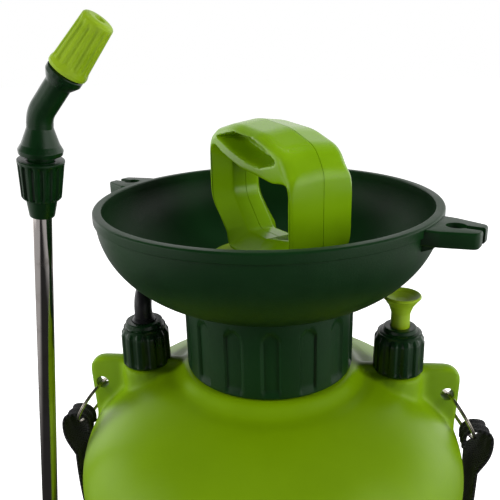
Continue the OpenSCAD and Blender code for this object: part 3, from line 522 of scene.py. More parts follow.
# ---- hose: outlet, down behind the tank, coil, then the lance ----
hose = {
    "radius": 4.25, "coilCentre": (-5, 176), "coilRadius": 44, "coilTop": 23.6, "coilFoot": 4.5,
    "turns": 2.25,
    "down": [(-66.5, 13.2, 293.3), (-66.5, 25, 293.3), (-65, 43, 292.5), (-61, 63, 289), (-54, 83, 280),
             (-46, 100, 265), (-39, 112, 245), (-34, 119, 220), (-31, 122, 190), (-30, 123, 160),
             (-24, 123, 130), (-10, 124, 100), (8, 126, 72), (24, 132, 52), (34, 142, 38),
             (38, 156, 29), (38.8, 166, 25)],
    "out": [(-30, 220, 4.5), (-58, 213, 4.5), (-85, 199, 4.5), (-109, 178, 4.5), (-127, 152, 4.5),
            (-139, 122, 4.5), (-144, 94, 6.5), (-144, 72, 14), (-143, 53, 25), (-141.5, 37, 34.5),
            (-140.4, 25, 40.5), (-139.9, 13.8, 43.2)]}


def hoseRoute():
    points = [Vector(p) for p in hose["down"]]
    steps = round(hose["turns"] * 18)
    drop = hose["coilTop"] - hose["coilFoot"]
    for i in range(steps + 1):
        angle = fullTurn * hose["turns"] * i / steps
        points.append(Vector((hose["coilCentre"][0] + hose["coilRadius"] * math.cos(angle),
                              hose["coilCentre"][1] + hose["coilRadius"] * math.sin(angle),
                              hose["coilTop"] - drop * i / steps)))
    return points + [Vector(p) for p in hose["out"]]


def threaded(points, steps=4):  # a smooth curve through all the points
    path = []
    for i in range(len(points) - 1):
        p0, p1 = points[max(i - 1, 0)], points[i]
        p2, p3 = points[i + 1], points[min(i + 2, len(points) - 1)]
        for k in range(steps):
            t = k / steps
            path.append(0.5 * (2 * p1 + (p2 - p0) * t + (2 * p0 - 5 * p1 + 4 * p2 - p3) * t ** 2
                               + (3 * p1 - p0 - 3 * p2 + p3) * t ** 3))
    return path + [points[-1]]


def drawnTube(name, points, radius, sides=6):  # a round bar along a path, as a mesh
    bpy.ops.object.select_all(action="DESELECT")
    curve = bpy.data.curves.new(name, "CURVE")
    curve.dimensions = "3D"
    curve.bevel_depth = radius * mm
    curve.bevel_resolution = sides
    curve.use_fill_caps = True
    spline = curve.splines.new("POLY")
    spline.points.add(len(points) - 1)
    for point, at in zip(spline.points, points):
        point.co = (*(at * mm), 1)
    piece = bpy.data.objects.new(name, curve)
    bpy.context.collection.objects.link(piece)
    pickOnly(piece)
    bpy.ops.object.convert(target="MESH")
    piece = bpy.context.object
    mend(piece, 0.001)
    return smooth(piece, 60)


route = threaded(hoseRoute())
hoseLength = sum((b - a).length for a, b in zip(route, route[1:])) * mm
print("hose is", round(hoseLength, 3), "m")
hosePiece = drawnTube("hosePipe", route, hose["radius"])
keep(hosePiece, "root", "hose_rubber", "hose", "hose_coil")
tuple(route[0] * mm)
[tuple(p * mm) for p in route]


# ---- tank: blown shell with its fin, two ports and two lugs ----
tank = {"radius": 102, "stepRadius": 98.5, "stepHeight": 34, "shoulder": 200, "dome": 61, "floor": 14,
        "floorRound": 12, "neckRadius": 33.5, "neckBore": 28, "wall": 3, "finThick": 7,
        "finTop": collarZ - 2.2, "bossRadius": 13, "spigotRadius": 10.85, "portBore": 8, "lugX": 92,
        "lugHole": 3.5, "voxel": 1.55}
lugZ = tank["finTop"] - 15  # height of the holes for the strap's rings


def domePoints(inset, lastRadius, steps=40):
    radius = tank["radius"] - inset
    height = tank["dome"] - inset
    start = math.asin(lastRadius / radius)
    return [(radius * math.sin(start + (quarterTurn - start) * i / steps),
             tank["shoulder"] + height * math.cos(start + (quarterTurn - start) * i / steps))
            for i in range(steps + 1)]


def tankSkin():
    ringTop = collarZ - 0.4
    lowerPart = softOutline([(0, tank["floor"]),
                             (tank["stepRadius"], tank["floor"], tank["floorRound"]),
                             (tank["stepRadius"], tank["stepHeight"]),
                             (tank["radius"], tank["stepHeight"])], closed=False, steps=8)
    neck = softOutline([(56, tank["shoulder"] + 51), (49, ringTop - 5.5, 3), (44.5, ringTop - 0.6, 1.4),
                        (43, ringTop), (tank["neckRadius"], ringTop), (tank["neckRadius"], neckTopZ),
                        (0, neckTopZ)], closed=False, steps=5)
    wall = [(tank["radius"], tank["stepHeight"] + (tank["shoulder"] - tank["stepHeight"]) * i / 12)
            for i in range(1, 12)]
    return [tuple(p) for p in lowerPart] + wall + domePoints(0, 57)[::-1] + [tuple(p) for p in neck]


def tankFin():
    foot = tank["shoulder"] - 10
    outline = softOutline([(-tank["radius"] + 5.5, foot), (tank["radius"] - 5.5, foot),
                           (tank["radius"] - 3.5, tank["finTop"], 7.5),
                           (-tank["radius"] + 3.5, tank["finTop"], 7.5)])
    fin = slab("fin", outline, -tank["finThick"] / 2, tank["finThick"] / 2)
    return bevel(standUp(fin), 1.6, 3, 50)


def makeTank():
    body = turned("tankShell", tankSkin(), 160, False)
    weld(body, tankFin())
    for end in (-1, 1):
        weld(body, drum(tank["bossRadius"], tank["shoulder"], nutFootZ - 0.3, 64, (end * portX, 0)))
    apply(body, "REMESH", mode="VOXEL", voxel_size=tank["voxel"] * mm, use_smooth_shade=True)
    blend = body.vertex_groups.new(name="blend")  # the joints soften most, the fins' edges least
    for vertex in body.data.vertices:
        x, y, z = vertex.co / mm
        pastDome = math.hypot(x, (z - tank["shoulder"]) * 1.6) > 96 and abs(x) > 80
        onFin = abs(y) < tank["finThick"] / 2 + 0.8 and pastDome
        blend.add([vertex.index], 0.18 if onFin else 1, "REPLACE")
    apply(body, "SMOOTH", factor=0.5, iterations=7, vertex_group="blend")
    settleTank(body)
    for end in (-1, 1):
        weld(body, drum(tank["spigotRadius"], tank["shoulder"] + 30, nutFootZ + 16.5, 48,
                        (end * portX, 0)))
    floor = tank["floor"] + 3
    inside = [(0, floor), (83.5, floor), (91.5, 20.5), (95.5, 29), (95.5, 37), (99, 38)]
    inside += domePoints(tank["wall"], 1, 24)[::-1] + [(0, 258)]
    cut(body, turned("cavity", inside, 96, False))
    cut(body, drum(tank["neckBore"], tank["shoulder"], neckTopZ + 1, 96))
    for end in (-1, 1):
        cut(body, drum(tank["portBore"], tank["shoulder"], nutFootZ + 20, 48, (end * portX, 0)))
        hole = drum(tank["lugHole"], -10, 10, 40)
        place(hole, Matrix.Translation(Vector((end * tank["lugX"], 0, lugZ)) * mm)
              @ Matrix.Rotation(quarterTurn, 4, "X"))
        cut(body, hole)
    return keep(smooth(body, 42), "root", "tank_green", "tank_shell")


def settleTank(body):  # the plain wall and dome go back to their true round shape
    for vertex in body.data.vertices:
        point = vertex.co / mm
        radius = math.hypot(point.x, point.y)
        if tank["stepHeight"] + 3 < point.z < tank["shoulder"] - 14:
            share = ease(point.z, tank["stepHeight"] + 3, tank["stepHeight"] + 8)
            wanted = radius + (tank["radius"] - radius) * share
            vertex.co.x *= wanted / radius
            vertex.co.y *= wanted / radius
        elif point.z > tank["shoulder"] and radius > 58 and abs(point.y) > 22:
            reach = math.hypot(radius / tank["radius"], (point.z - tank["shoulder"]) / tank["dome"])
            share = ease(abs(point.y), 22, 30) * (1 - ease(abs(reach - 1), 0.008, 0.016))
            scale = 1 + (1 / reach - 1) * share
            vertex.co.x *= scale
            vertex.co.y *= scale
            vertex.co.z = (tank["shoulder"] + (point.z - tank["shoulder"]) * scale) * mm
    body.data.update()


makeTank()
print("tank made")


# ---- foot under the tank ----
foot = {"radius": 102.5, "height": 33.8, "lap": 98.6, "restRadius": 80.5, "bead": 1.2, "drains": 6,
        "drainRadius": 5}


def makeFoot():
    outline = softOutline([(0, 0), (foot["radius"] - 1.2, 0, 1.0), (foot["radius"], 1.6, 1.0),
                           (foot["radius"], 5.2, 0.6), (foot["radius"] - foot["bead"], 6.4, 0.6),
                           (foot["radius"] - foot["bead"], 25.6, 0.6), (foot["radius"], 27, 0.6),
                           (foot["radius"], foot["height"], 1.2), (foot["lap"], foot["height"], 0.6),
                           (foot["lap"], tank["floor"]), (foot["restRadius"], tank["floor"], 0.8),
                           (foot["restRadius"], 3), (0, 3)], closed=False, steps=3)
    piece = turned("baseFoot", outline, 192, False)
    for i in range(foot["drains"]):
        angle = fullTurn * i / foot["drains"]
        at = (foot["restRadius"] / 2 * math.cos(angle), foot["restRadius"] / 2 * math.sin(angle))
        cut(piece, drum(foot["drainRadius"], -1, 5, 32, at))
    return keep(smooth(piece, 35), "root", "dark_plastic", "base_foot")


makeFoot()


# ---- funnel: bowl, rim, grooved collar and two rim lugs ----
funnel = {"rimRadius": 82.5, "lip": 4, "middle": 21.5, "outA": 60, "outB": 46, "wall": 2.8,
          "collarRadius": 42.8, "grooveDepth": 1.4, "grooves": 15, "grooveTurn": -12.5,
          "grooveHalf": 4.2, "grooveTop": 34, "bore": 33.65, "throat": 28, "upstand": 31,
          "upstandTop": 307.57, "floorZ": 291.57, "capSeat": 37.95, "lugTurn": -28, "lugLength": 19,
          "lugWidth": 27}


def bowlCurve(a, b, lastRadius, steps):
    lipZ = rimZ - funnel["lip"]
    last = math.acos((lastRadius - funnel["middle"]) / a)
    return [(funnel["middle"] + a * math.cos(last * i / steps), lipZ - b * math.sin(last * i / steps))
            for i in range(steps + 1)]


def funnelOutline():
    collar = [(funnel["bore"], collarZ), (funnel["collarRadius"] - 1.2, collarZ),
              (funnel["collarRadius"] - 0.3, collarZ + 0.5), (funnel["collarRadius"], collarZ + 1.4)]
    collar += [(funnel["collarRadius"], collarZ + 1.4 + 37.6 * i / 26) for i in range(1, 26)]
    outer = bowlCurve(funnel["outA"], funnel["outB"], funnel["collarRadius"], 34)[::-1]
    rim = softOutline([outer[-1], (funnel["rimRadius"] - 0.8, rimZ - 4.9, 0.5),
                       (funnel["rimRadius"], rimZ - 4.4, 0.4),
                       (funnel["rimRadius"], rimZ, 1.1), (funnel["rimRadius"] - 4.2, rimZ, 0.6),
                       (funnel["rimRadius"] - 3.8, rimZ - funnel["lip"])], closed=False, steps=5)
    inner = bowlCurve(funnel["outA"] - funnel["wall"], funnel["outB"] - funnel["wall"],
                      funnel["capSeat"], 34)
    throatPart = [(funnel["capSeat"], funnel["floorZ"] + 4), (funnel["upstand"], funnel["floorZ"] + 4),
                  (funnel["upstand"], funnel["upstandTop"]), (funnel["throat"], funnel["upstandTop"]),
                  (funnel["throat"], funnel["floorZ"]), (funnel["bore"], funnel["floorZ"])]
    return collar + outer[:-1] + [tuple(p) for p in rim[:-1]] + inner + throatPart


def funnelGrooves(angle, radius, height):  # recesses with arched tops between the finger pads
    if radius < funnel["collarRadius"] - 0.8 or not collarZ + 1 < height < collarZ + 44:
        return radius
    pitch = fullTurn / funnel["grooves"]
    away = wrapAngle(angle - math.radians(funnel["grooveTurn"]), pitch) * funnel["collarRadius"]
    half = funnel["grooveHalf"]
    slot = 1 - ease(away, half - 0.5, half + 0.3)
    top = collarZ + funnel["grooveTop"] - 3.5 * (away / half) ** 2
    ends = inBand(height, collarZ + 2.2, collarZ + 3.4, top - 0.9, top + 0.6)
    return radius - slot * ends * funnel["grooveDepth"]


def rimLug():
    reach = funnel["rimRadius"]
    half = funnel["lugWidth"] / 2
    end = reach + funnel["lugLength"]
    outline = softOutline([(reach - 5, -half + 0.5), (reach + 5, -half + 1.5, 3), (end, -half + 6, 3),
                           (end, half - 6, 3), (reach + 5, half - 1.5, 3), (reach - 5, half - 0.5)])
    plate = slab("lug", outline, rimZ - 7.8, rimZ - 1)
    bevel(plate, 0.9, 3, 40)
    hook = reach + 8
    cut(plate, drum(4.2, rimZ - 20, rimZ + 5, 48, (hook, 0)))
    cut(plate, slab("slot", [(hook, -2.2), (reach + 30, -2.2), (reach + 30, 2.2), (hook, 2.2)],
                    rimZ - 20, rimZ + 5))
    cut(plate, drum(reach - 2.4, rimZ - 30, rimZ + 5, 192))
    web = slab("web", [(reach - 4.2, rimZ - 12), (reach + 2.6, rimZ - 9), (reach + 3, rimZ - 5),
                       (reach - 1.5, rimZ - 5)],
               -half + 3, half - 3)
    standUp(web)
    bevel(web, 0.6, 2, 40)
    return joinTo(plate, web)


def makeFunnel():
    piece = turned("funnelBowl", funnelOutline(), 336)
    fluted(piece, funnelGrooves)
    for half in (0, 180):
        joinTo(piece, place(rimLug(), Matrix.Rotation(math.radians(funnel["lugTurn"] + half), 4, "Z")))
    return keep(smooth(piece, 40), "root", "dark_plastic", "funnel")


makeFunnel()
print("funnel made")


# ---- port nuts, relief button and outlet elbow ----
nut = {"radius": 13, "ribs": 12, "fluteDepth": 0.95, "height": nutTopZ - nutFootZ, "bore": 11}


def makePortNut(name, collarRadius, boreRadius, node, turnBy):
    top = nutTopZ
    foot = nutFootZ
    wide = nut["radius"]
    outline = softOutline([(nut["bore"], foot), (wide - 0.9, foot, 0.5), (wide - 0.1, foot + 1.2, 0.6),
                           (wide, top - 6.6, 2.4), (wide - 3.0, top - 2.4, 1.4),
                           (collarRadius + 0.3, top - 2.2, 0.5), (collarRadius, top, 0.7),
                           (boreRadius, top, 0.3), (boreRadius, top - 3),
                           (nut["bore"], top - 3)], steps=5)
    piece = turned(name, withLevels(outline, 6, 12, 8), 240)

    def flutes(angle, radius, height):
        inBody = inBand(height, foot + 0.6, foot + 1.6, top - 3.6, top - 2.4)
        groove = 1 - ease(ridgeAt(angle + turnBy, radius, nut["ribs"]), 0.7, 2.4)
        taper = 0.5 * (height - foot) / nut["height"]
        return radius - (groove * nut["fluteDepth"] + taper) * inBody if radius > 11.2 else radius

    fluted(piece, flutes)
    end = 1 if node == "relief_nut" else -1
    place(piece, Matrix.Translation((end * portX * mm, 0, 0)))
    return keep(smooth(piece, 50), "root", "nut_plastic", node)


makePortNut("reliefNut", 8.2, 4.95, "relief_nut", 0.1)
makePortNut("outletNut", 9.6, 6.4, "outlet_nut", 0.25)
button = {"stem": 4.75, "disc": 9.8, "discFoot": nutTopZ + 13, "seat": 7.3}


def makeReliefButton():
    foot = low("relief_button").z
    disc = button["discFoot"]
    stem = button["stem"]
    wide = button["disc"]
    seat = button["seat"]
    outline = softOutline([(0, foot), (seat, foot, 0.4), (seat, foot + 3, 0.4), (stem, foot + 3),
                           (stem, disc - 5.5, 2.5), (stem + 1.4, disc - 1.6, 1.5),
                           (wide - 1.4, disc + 1.6, 1.2), (wide, disc + 3.2, 0.6),
                           (wide - 0.7, disc + 4.4, 0.5), (wide - 3.2, disc + 2.6, 2),
                           (3, disc + 1.2, 1.5), (0, disc + 1)], closed=False, steps=5)
    piece = turned("reliefButton", outline, 96, False)
    place(piece, Matrix.Translation((portX * mm, 0, 0)))
    return keep(smooth(piece, 40), "relief", "cap_green", "relief_button")


makeReliefButton()
elbow = {"radius": 4.6, "bend": 9, "barbZ": nutTopZ + 15, "flangeZ": nutTopZ - 6.5, "barbRadius": 2.75}


def makeOutletElbow():
    flange = elbow["flangeZ"]
    run = elbow["bend"]
    barbZ = elbow["barbZ"]
    outline = softOutline([(0, flange - 20), (2.9, flange - 20), (2.9, flange), (10.4, flange, 0.3),
                           (10.4, flange + 3, 0.3), (6.2, flange + 3), (6.2, nutTopZ + 0.4, 0.5),
                           (5.4, nutTopZ + 1.4, 0.4), (4.7, nutTopZ + 1.8), (4.7, nutTopZ + 4),
                           (0, nutTopZ + 4)], closed=False, steps=3)
    column = turned("outletElbow", outline, 64, False)
    centre = Vector((0, run, barbZ - run))
    path = [Vector((0, 0, nutTopZ + 2))]
    for i in range(13):
        angle = quarterTurn * i / 12
        path.append(centre + run * Vector((0, -math.cos(angle), math.sin(angle))))
    path.append(Vector((0, run + 4, barbZ)))
    bend = drawnTube("bend", path, elbow["radius"])
    web = slab("web", softOutline([(-1.2, nutTopZ + 1), (3.6, nutTopZ + 1), (8.2, barbZ - 3),
                                   (2, barbZ - 1, 2)]), -1, 1)
    place(web, Matrix.Rotation(quarterTurn, 4, "Z") @ Matrix.Rotation(quarterTurn, 4, "X"))
    bevel(web, 0.3, 2)
    barb = drawnTube("barb", [Vector((0, run + 3, barbZ)), Vector((0, run + 22, barbZ))],
                     elbow["barbRadius"])
    joinTo(column, bend, web, barb)
    place(column, Matrix.Translation((-portX * mm, 0, 0)))
    return keep(smooth(column, 40), "root", "black_plastic", "outlet_elbow")


makeOutletElbow()
print("ports made")


# ---- pump cap, down in the funnel's throat ----
pumpCap = {"bottomRadius": 37.15, "topRadius": 34.15, "bore": 31.15, "ribs": 24, "ribDepth": 1.3,
           "rodHole": 11.1, "roof": 3}


def makePumpCap():
    foot = low("pump_cap").z
    top = capTopZ
    outline = softOutline([(pumpCap["bore"], foot), (pumpCap["bottomRadius"] - 0.3, foot, 0.5),
                           (pumpCap["topRadius"], top - 4, 3), (pumpCap["topRadius"] - 5, top, 2),
                           (15, top, 0.5), (14, top - 0.8, 0.5), (pumpCap["rodHole"], top - 0.8),
                           (pumpCap["rodHole"], top - pumpCap["roof"]),
                           (pumpCap["bore"], top - pumpCap["roof"])], steps=5)
    piece = turned("pumpCap", withLevels(outline, 5, 33, 6), 240)

    def ribs(angle, radius, height):
        away = ridgeAt(angle, radius, pumpCap["ribs"])
        inBody = 1 - ease(height, top - 5, top - 1)
        return radius - ease(away, 1.0, 2.6) * pumpCap["ribDepth"] * inBody if radius > 32 else radius

    fluted(piece, ribs)
    return keep(smooth(piece, 45), "pump", "cap_green", "pump_cap")


makePumpCap()


# ---- pump handle: a closed loop in two moulded halves, with a finger pocket in one side ----
handle = {
    "turn": math.radians(-53), "thick": 33, "centre": Vector((8, 27)), "stations": 250, "around": 160,
    "outer": [(-29.4, 59, 9), (-6, 65, 40), (20, 62.5, 40), (38, 56.5, 14), (44.6, 46, 12),
              (44.6, 2, 14), (15, 0, 3), (-12, 0, 2), (-14, 9, 4), (-29.4, 24, 13)],
    "inner": [(-20, 49, 4), (6, 39, 18), (37, 39, 6), (37, 16, 8), (10, 10, 5), (-6, 10, 5),
              (-20, 26, 12)],
    "innerHalf": 7.2, "pocketDepth": 11}


def rayTo(path, angle):  # where a ray from the loop's middle crosses an outline
    way = Vector((math.cos(angle), math.sin(angle)))
    best = None
    for a, b in zip(path, path[1:] + path[:1]):
        run = b - a
        cross = way.x * run.y - way.y * run.x
        if abs(cross) < 1e-9:
            continue
        gap = a - handle["centre"]
        distance = (gap.x * run.y - gap.y * run.x) / cross
        share = (gap.x * way.y - gap.y * way.x) / cross
        if distance > 0 and -1e-6 <= share <= 1 + 1e-6 and (best is None or distance > best):
            best = distance
    return best


def sectionPoint(share, depth, half):  # share runs 0 to 1 round half the section, inside to outside
    wide = ease(depth, 7, 20)  # 0 on the legs, 1 on the broad bar at the top
    wedge = (depth - 2.2) * (1 - wide) + 4.5 * wide
    corners = softOutline([(0, 0), (0, handle["innerHalf"], 1.8), (wedge, half, 1.2),
                           (depth - 0.8 - wide * 1.2, half, 1.6 + wide * 4), (depth, 0)], closed=False,
                           steps=8)
    lengths = [(b - a).length for a, b in zip(corners, corners[1:])]
    goal = share * sum(lengths)
    for a, b, length in zip(corners, corners[1:], lengths):
        if goal <= length:
            return a.lerp(b, goal / length)
        goal -= length
    return corners[-1]


pocketTop = softOutline([(-21, 56), (-3, 59.6), (13, 58.3), (23, 55.6), (33, 51)], closed=False)
pocketFoot = softOutline([(-21, 56), (-5, 50.6), (8.3, 47.4), (20, 46.4), (33, 49.5)], closed=False)


def levelAt(line, u):  # an outline's height above one place
    for a, b in zip(line, line[1:]):
        if a.x <= u <= b.x:
            return a.y + (b.y - a.y) * (u - a.x) / (b.x - a.x)
    return line[0].y if u < line[0].x else line[-1].y


def pocket(u, v):  # how deep the finger pocket is at a place on the side face
    if u < -20.5 or u > 32.5:
        return 0
    ends = inBand(u, -20.5, -17, 29, 32.5)
    return ends * min(ease(levelAt(pocketTop, u) - v, -0.4, 2.4),
                      ease(v - levelAt(pocketFoot, u), -0.4, 3))


def makeHandle():
    outer = softOutline(handle["outer"], steps=10)
    inner = softOutline(handle["inner"], steps=8)
    bpy.ops.object.select_all(action="DESELECT")
    bpy.ops.mesh.primitive_torus_add(major_segments=handle["stations"], minor_segments=handle["around"])
    loop = bpy.context.object
    loop.name = "handleLoop"
    count = handle["around"]
    for i in range(handle["stations"]):
        angle = fullTurn * i / handle["stations"]
        way = Vector((math.cos(angle), math.sin(angle)))
        near = rayTo(inner, angle)
        depth = rayTo(outer, angle) - near
        leftward = 1 - ease(way.x * near, -22, 6)
        for k in range(count):
            turn = k / count  # 0 at the outside's middle, 0.5 at the inside's middle
            front = turn <= 0.5
            share = 1 - 2 * turn if front else 2 * turn - 1
            thinner = leftward * (0.6 if front else 4.5)
            section = sectionPoint(share, depth, handle["thick"] / 2 - thinner)
            at = handle["centre"] + way * (near + section.x)
            z = section.y if front else -section.y
            if front:
                z -= pocket(at.x, at.y) * min(handle["pocketDepth"], max(0, z - 1.5))
            loop.data.vertices[i * count + k].co = Vector((at.x, at.y, z)) * mm
    mend(loop, 0.005)
    turnUp = Matrix.Translation((0, 0, handleZ * mm)) @ Matrix.Rotation(handle["turn"], 4, "Z") \
        @ Matrix.Rotation(quarterTurn, 4, "X")
    halve(loop, (("handleFront", "handle_front", True), ("handleBack", "handle_back", False)),
          Vector((0, 0, 1)), 0.12, "plunger", "handle_green", turnUp)


makeHandle()
print("handle made")


# ---- lance: its frame comes from the joints ----
lanceUp = Vector(joint("elbow_swivel")["axis"]).normalized()
lanceBack = -Vector(joint("trigger_squeeze")["axis"]).normalized()
lanceSide = lanceBack.cross(lanceUp)
lance = {"swivelAt": 345, "nut": 25, "bigRadius": 9.5, "neck": 5.3, "rise": 15.4, "turnRadius": 12,
         "tilt": math.radians(32), "skirt": 9.1, "collarAt": 15, "collar": 7.5, "spigot": 5.4,
         "neckIn": 11, "nutRibs": 16, "tubeFoot": 122.2, "lowerNutAt": 118.2}
lanceFoot = Vector(joint("elbow_swivel")["pos_m"]) / mm - lance["swivelAt"] * lanceUp
lanceTurn = Matrix((lanceSide, lanceBack, lanceUp)).transposed().to_4x4()
lanceFrame = Matrix.Translation(lanceFoot * mm) @ lanceTurn


def alongLance(height):
    return lanceFrame @ Matrix.Translation((0, 0, height * mm))


def pastBend(height):
    shift = Matrix.Translation((lance["turnRadius"] * mm, 0, 0))
    lean = Matrix.Rotation(lance["tilt"], 4, "Y")
    back = Matrix.Translation((-lance["turnRadius"] * mm, 0, height * mm))
    return alongLance(lance["swivelAt"] + lance["rise"]) @ shift @ lean @ back


def makeWandNut(name, node, at, upsideDown):
    length = lance["nut"]
    ribFoot = length * 0.335
    big = lance["bigRadius"]
    inside = 7.1 if upsideDown else lance["neck"] + 0.1
    depth = 12.2 if upsideDown else lance["neckIn"] + 2
    outline = softOutline([(4.1, 0), (5.2, 0, 0.5), (6.5, ribFoot - 0.4), (big - 1.7, ribFoot, 0.3),
                           (big - 1.2, ribFoot + 0.8, 0.3), (big - 0.1, length - 2.0, 0.3),
                           (big + 0.1, length - 0.9, 0.3), (big + 0.1, length, 0.3),
                           (inside + 0.9, length, 0.4), (inside, length - 0.9),
                           (inside, length - depth), (4.1, length - depth)], steps=3)
    piece = turned(name, withLevels(outline, 4, 7.6, 12), 224)

    def ribs(angle, radius, height):
        inBody = inBand(height, ribFoot + 0.1, ribFoot + 0.4, length - 2.4, length - 1.5)
        away = ridgeAt(angle, radius, lance["nutRibs"])
        return radius - (1 - ease(away, 0.4, 1.3)) * inBody if radius > 7.4 else radius

    fluted(piece, ribs)
    if upsideDown:
        place(piece, Matrix.Translation((0, 0, length * mm)) @ Matrix.Rotation(math.pi, 4, "X"))
    place(piece, alongLance(at))
    return keep(smooth(piece, 42), "lance", "nut_plastic", node)


makeWandNut("wandUpperNut", "wand_upper_nut", lance["swivelAt"] - lance["nut"], False)
makeWandNut("wandLowerNut", "wand_lower_nut", lance["lowerNutAt"], True)


def makeWandTube():
    tubeFoot = lance["tubeFoot"]
    top = lance["swivelAt"] - lance["neckIn"] - 2.6
    outline = softOutline([(3, tubeFoot), (4, tubeFoot, 0.2), (4, top, 0.2), (3, top)], steps=2)
    piece = turned("wandTube", outline, 64)
    place(piece, lanceFrame)
    return keep(smooth(piece, 40), "lance", "tube_chrome", "wand_tube")


makeWandTube()


def makeNozzleElbow():
    neck = lance["neck"]
    skirtR = lance["skirt"]
    flare = softOutline([(0, -lance["neckIn"]), (neck, -lance["neckIn"], 0.3), (neck, 2.4),
                         (skirtR - 0.3, 2.4, 0.3), (skirtR, 4.2, 0.5), (skirtR - 1.4, 6.6, 1.2),
                         (neck + 0.7, 11.4, 1), (neck, 13.4, 0.6), (neck, lance["rise"]),
                         (0, lance["rise"])], closed=False, steps=5)
    skirt = turned("nozzleElbow", flare, 96, False)
    place(skirt, alongLance(lance["swivelAt"]))
    centre = alongLance(lance["swivelAt"] + lance["rise"]) @ Vector((lance["turnRadius"] * mm, 0, 0))
    path = [alongLance(lance["swivelAt"] + lance["rise"] - 1) @ Vector((0, 0, 0))]
    for i in range(13):
        turn = lance["tilt"] * i / 12
        way = lanceUp * math.sin(turn) - lanceSide * math.cos(turn)
        path.append(centre + way * lance["turnRadius"] * mm)
    path.append(pastBend(2) @ Vector((0, 0, 0)))
    bend = drawnTube("bend", [p / mm for p in path], neck - 0.02, 22)
    at = lance["collarAt"]
    wide = lance["collar"]
    spigot = lance["spigot"]
    stub = softOutline([(0, 0), (neck, 0), (neck, at - 3.4, 1.5), (wide - 0.8, at - 1.2, 1),
                        (wide, at + 0.2, 0.4), (wide, at + 2.2, 0.4), (wide - 0.8, at + 3, 0.4),
                        (spigot, at + 3), (spigot, at + 7.5), (3.7, at + 7.5), (3.7, at + 9.7),
                        (spigot, at + 9.7), (spigot, at + 16.5, 0.3), (0, at + 16.5)],
                       closed=False, steps=5)
    collar = turned("collar", stub, 96, False)
    place(collar, pastBend(0))
    joinTo(skirt, bend, collar)
    return keep(smooth(skirt, 45), "elbow", "nut_plastic", "nozzle_elbow")


makeNozzleElbow()
cap = {"length": 24, "radius": 7.3, "taper": 1.4, "flange": 8.0, "ribs": 14, "bore": 5.7}


def makeNozzleCap():
    length = cap["length"]
    wide = cap["radius"]
    thin = wide - cap["taper"]
    outline = softOutline([(cap["bore"], 0), (cap["flange"] - 0.1, 0, 0.3), (cap["flange"], 1.4, 0.3),
                           (wide + 0.4, 2.6, 0.4), (wide + 0.25, 3.2, 0.2),
                           (thin + 0.5, length - 0.6, 1.5), (thin - 1.6, length, 0.5),
                           (2.2, length, 0.4), (1.4, length - 1.2, 0.3), (1.0, length - 1.9),
                           (1.0, length - 3), (4.2, length - 3), (4.2, 14),
                           (cap["bore"], 14)], steps=4)
    piece = turned("nozzleCap", withLevels(outline, 4, 6, 16), 224)

    def ribs(angle, radius, height):
        inBody = inBand(height, 3.0, 4.2, length - 4.5, length - 1.5)
        away = ridgeAt(angle, radius, cap["ribs"])
        return radius - ease(away, 0.5, 1.3) * 0.6 * inBody if radius > 5.2 and height > 2.9 else radius

    fluted(piece, ribs)
    place(piece, pastBend(lance["collarAt"] + 3.3))
    return keep(smooth(piece, 45), "nozzle", "cap_green", "nozzle_cap")


makeNozzleCap()
print("lance made")


# ---- grip: two shells round the valve, with a trigger and its lock ----
grip = {"length": 118, "width": 30, "thick": 26, "round": 4.5, "wall": 2.6, "pivot": (-13, 100),
        "screwHeights": (20, 94), "grooves": 7, "groovePitch": 6.2, "firstGroove": 26,
        "triggerThick": 9.2}
inletFrame = Matrix.Translation((0, 2 * mm, 14 * mm)) @ Matrix.Rotation(math.radians(-100), 4, "X")


def gripOutline(inset):
    half = grip["width"] / 2 - inset
    length = grip["length"]
    top = length - inset
    return softOutline([(-half + 2, inset, 4), (half - 1, inset, 6), (half - 3, length * 0.4, 60),
                        (half, length - 14, 8), (half - 3, top, 2), (-half + 3, top, 2),
                        (-half, length - 16, 8), (-half + 5, length * 0.45, 30)], steps=8)


def makeGrip():
    whole = slab("gripWhole", gripOutline(0), -grip["thick"] / 2, grip["thick"] / 2)
    bevel(whole, grip["round"], 5, 50)
    inside = grip["thick"] / 2 - grip["wall"]
    cut(whole, slab("gripInside", gripOutline(grip["wall"]), -inside, inside))
    standUp(whole)
    window = slab("window", softOutline([(-25, 18), (-1, 18, 2), (-1, 106, 2), (-25, 106)]), -5, 5)
    cut(whole, standUp(window))
    cut(whole, drum(7.1, 98, 130, 48))
    cut(whole, place(drum(6.1, 0, 60, 48), inletFrame))
    cut(whole, slab("lockSlot", [(11, -3.3), (24, -3.3), (24, 3.3), (11, 3.3)], 76, 94))
    for height in grip["screwHeights"]:
        hole = drum(3.1, -20, -9.5, 32)
        place(hole, Matrix.Translation((9.6 * mm, 0, height * mm))
              @ Matrix.Rotation(-quarterTurn, 4, "X"))
        cut(whole, hole)
    for i in range(grip["grooves"]):  # finger grooves moulded across the back of the grip
        rib = drum(1.1, -9, 9, 16)
        height = grip["firstGroove"] + grip["groovePitch"] * i
        place(rib, Matrix.Translation((13.2 * mm, 0, height * mm))
              @ Matrix.Rotation(quarterTurn, 4, "X"))
        cut(whole, rib)
    halve(whole, (("gripFront", "grip_front", False), ("gripBack", "grip_back", True)),
          Vector((0, 1, 0)), 0.08, "lance", "dark_plastic", lanceFrame)


makeGrip()


def makeTrigger():
    x, z = grip["pivot"]
    outline = softOutline([(x - 3.5, z - 6, 2), (x + 3.2, z - 5, 2.5), (x + 3.2, z + 4.5, 2.5),
                           (x - 5, z + 4.5, 3), (x - 10, z - 14, 8), (x - 9, z - 58, 10),
                           (x - 15, z - 72, 1), (x - 10, z - 73, 2), (x - 4, z - 56, 8)], steps=7)
    piece = slab("triggerLever", outline, -grip["triggerThick"] / 2, grip["triggerThick"] / 2)
    bevel(piece, 1.3, 4, 50)
    place(standUp(piece), lanceFrame)
    return keep(smooth(piece, 45), "trigger", "cap_green", "trigger")


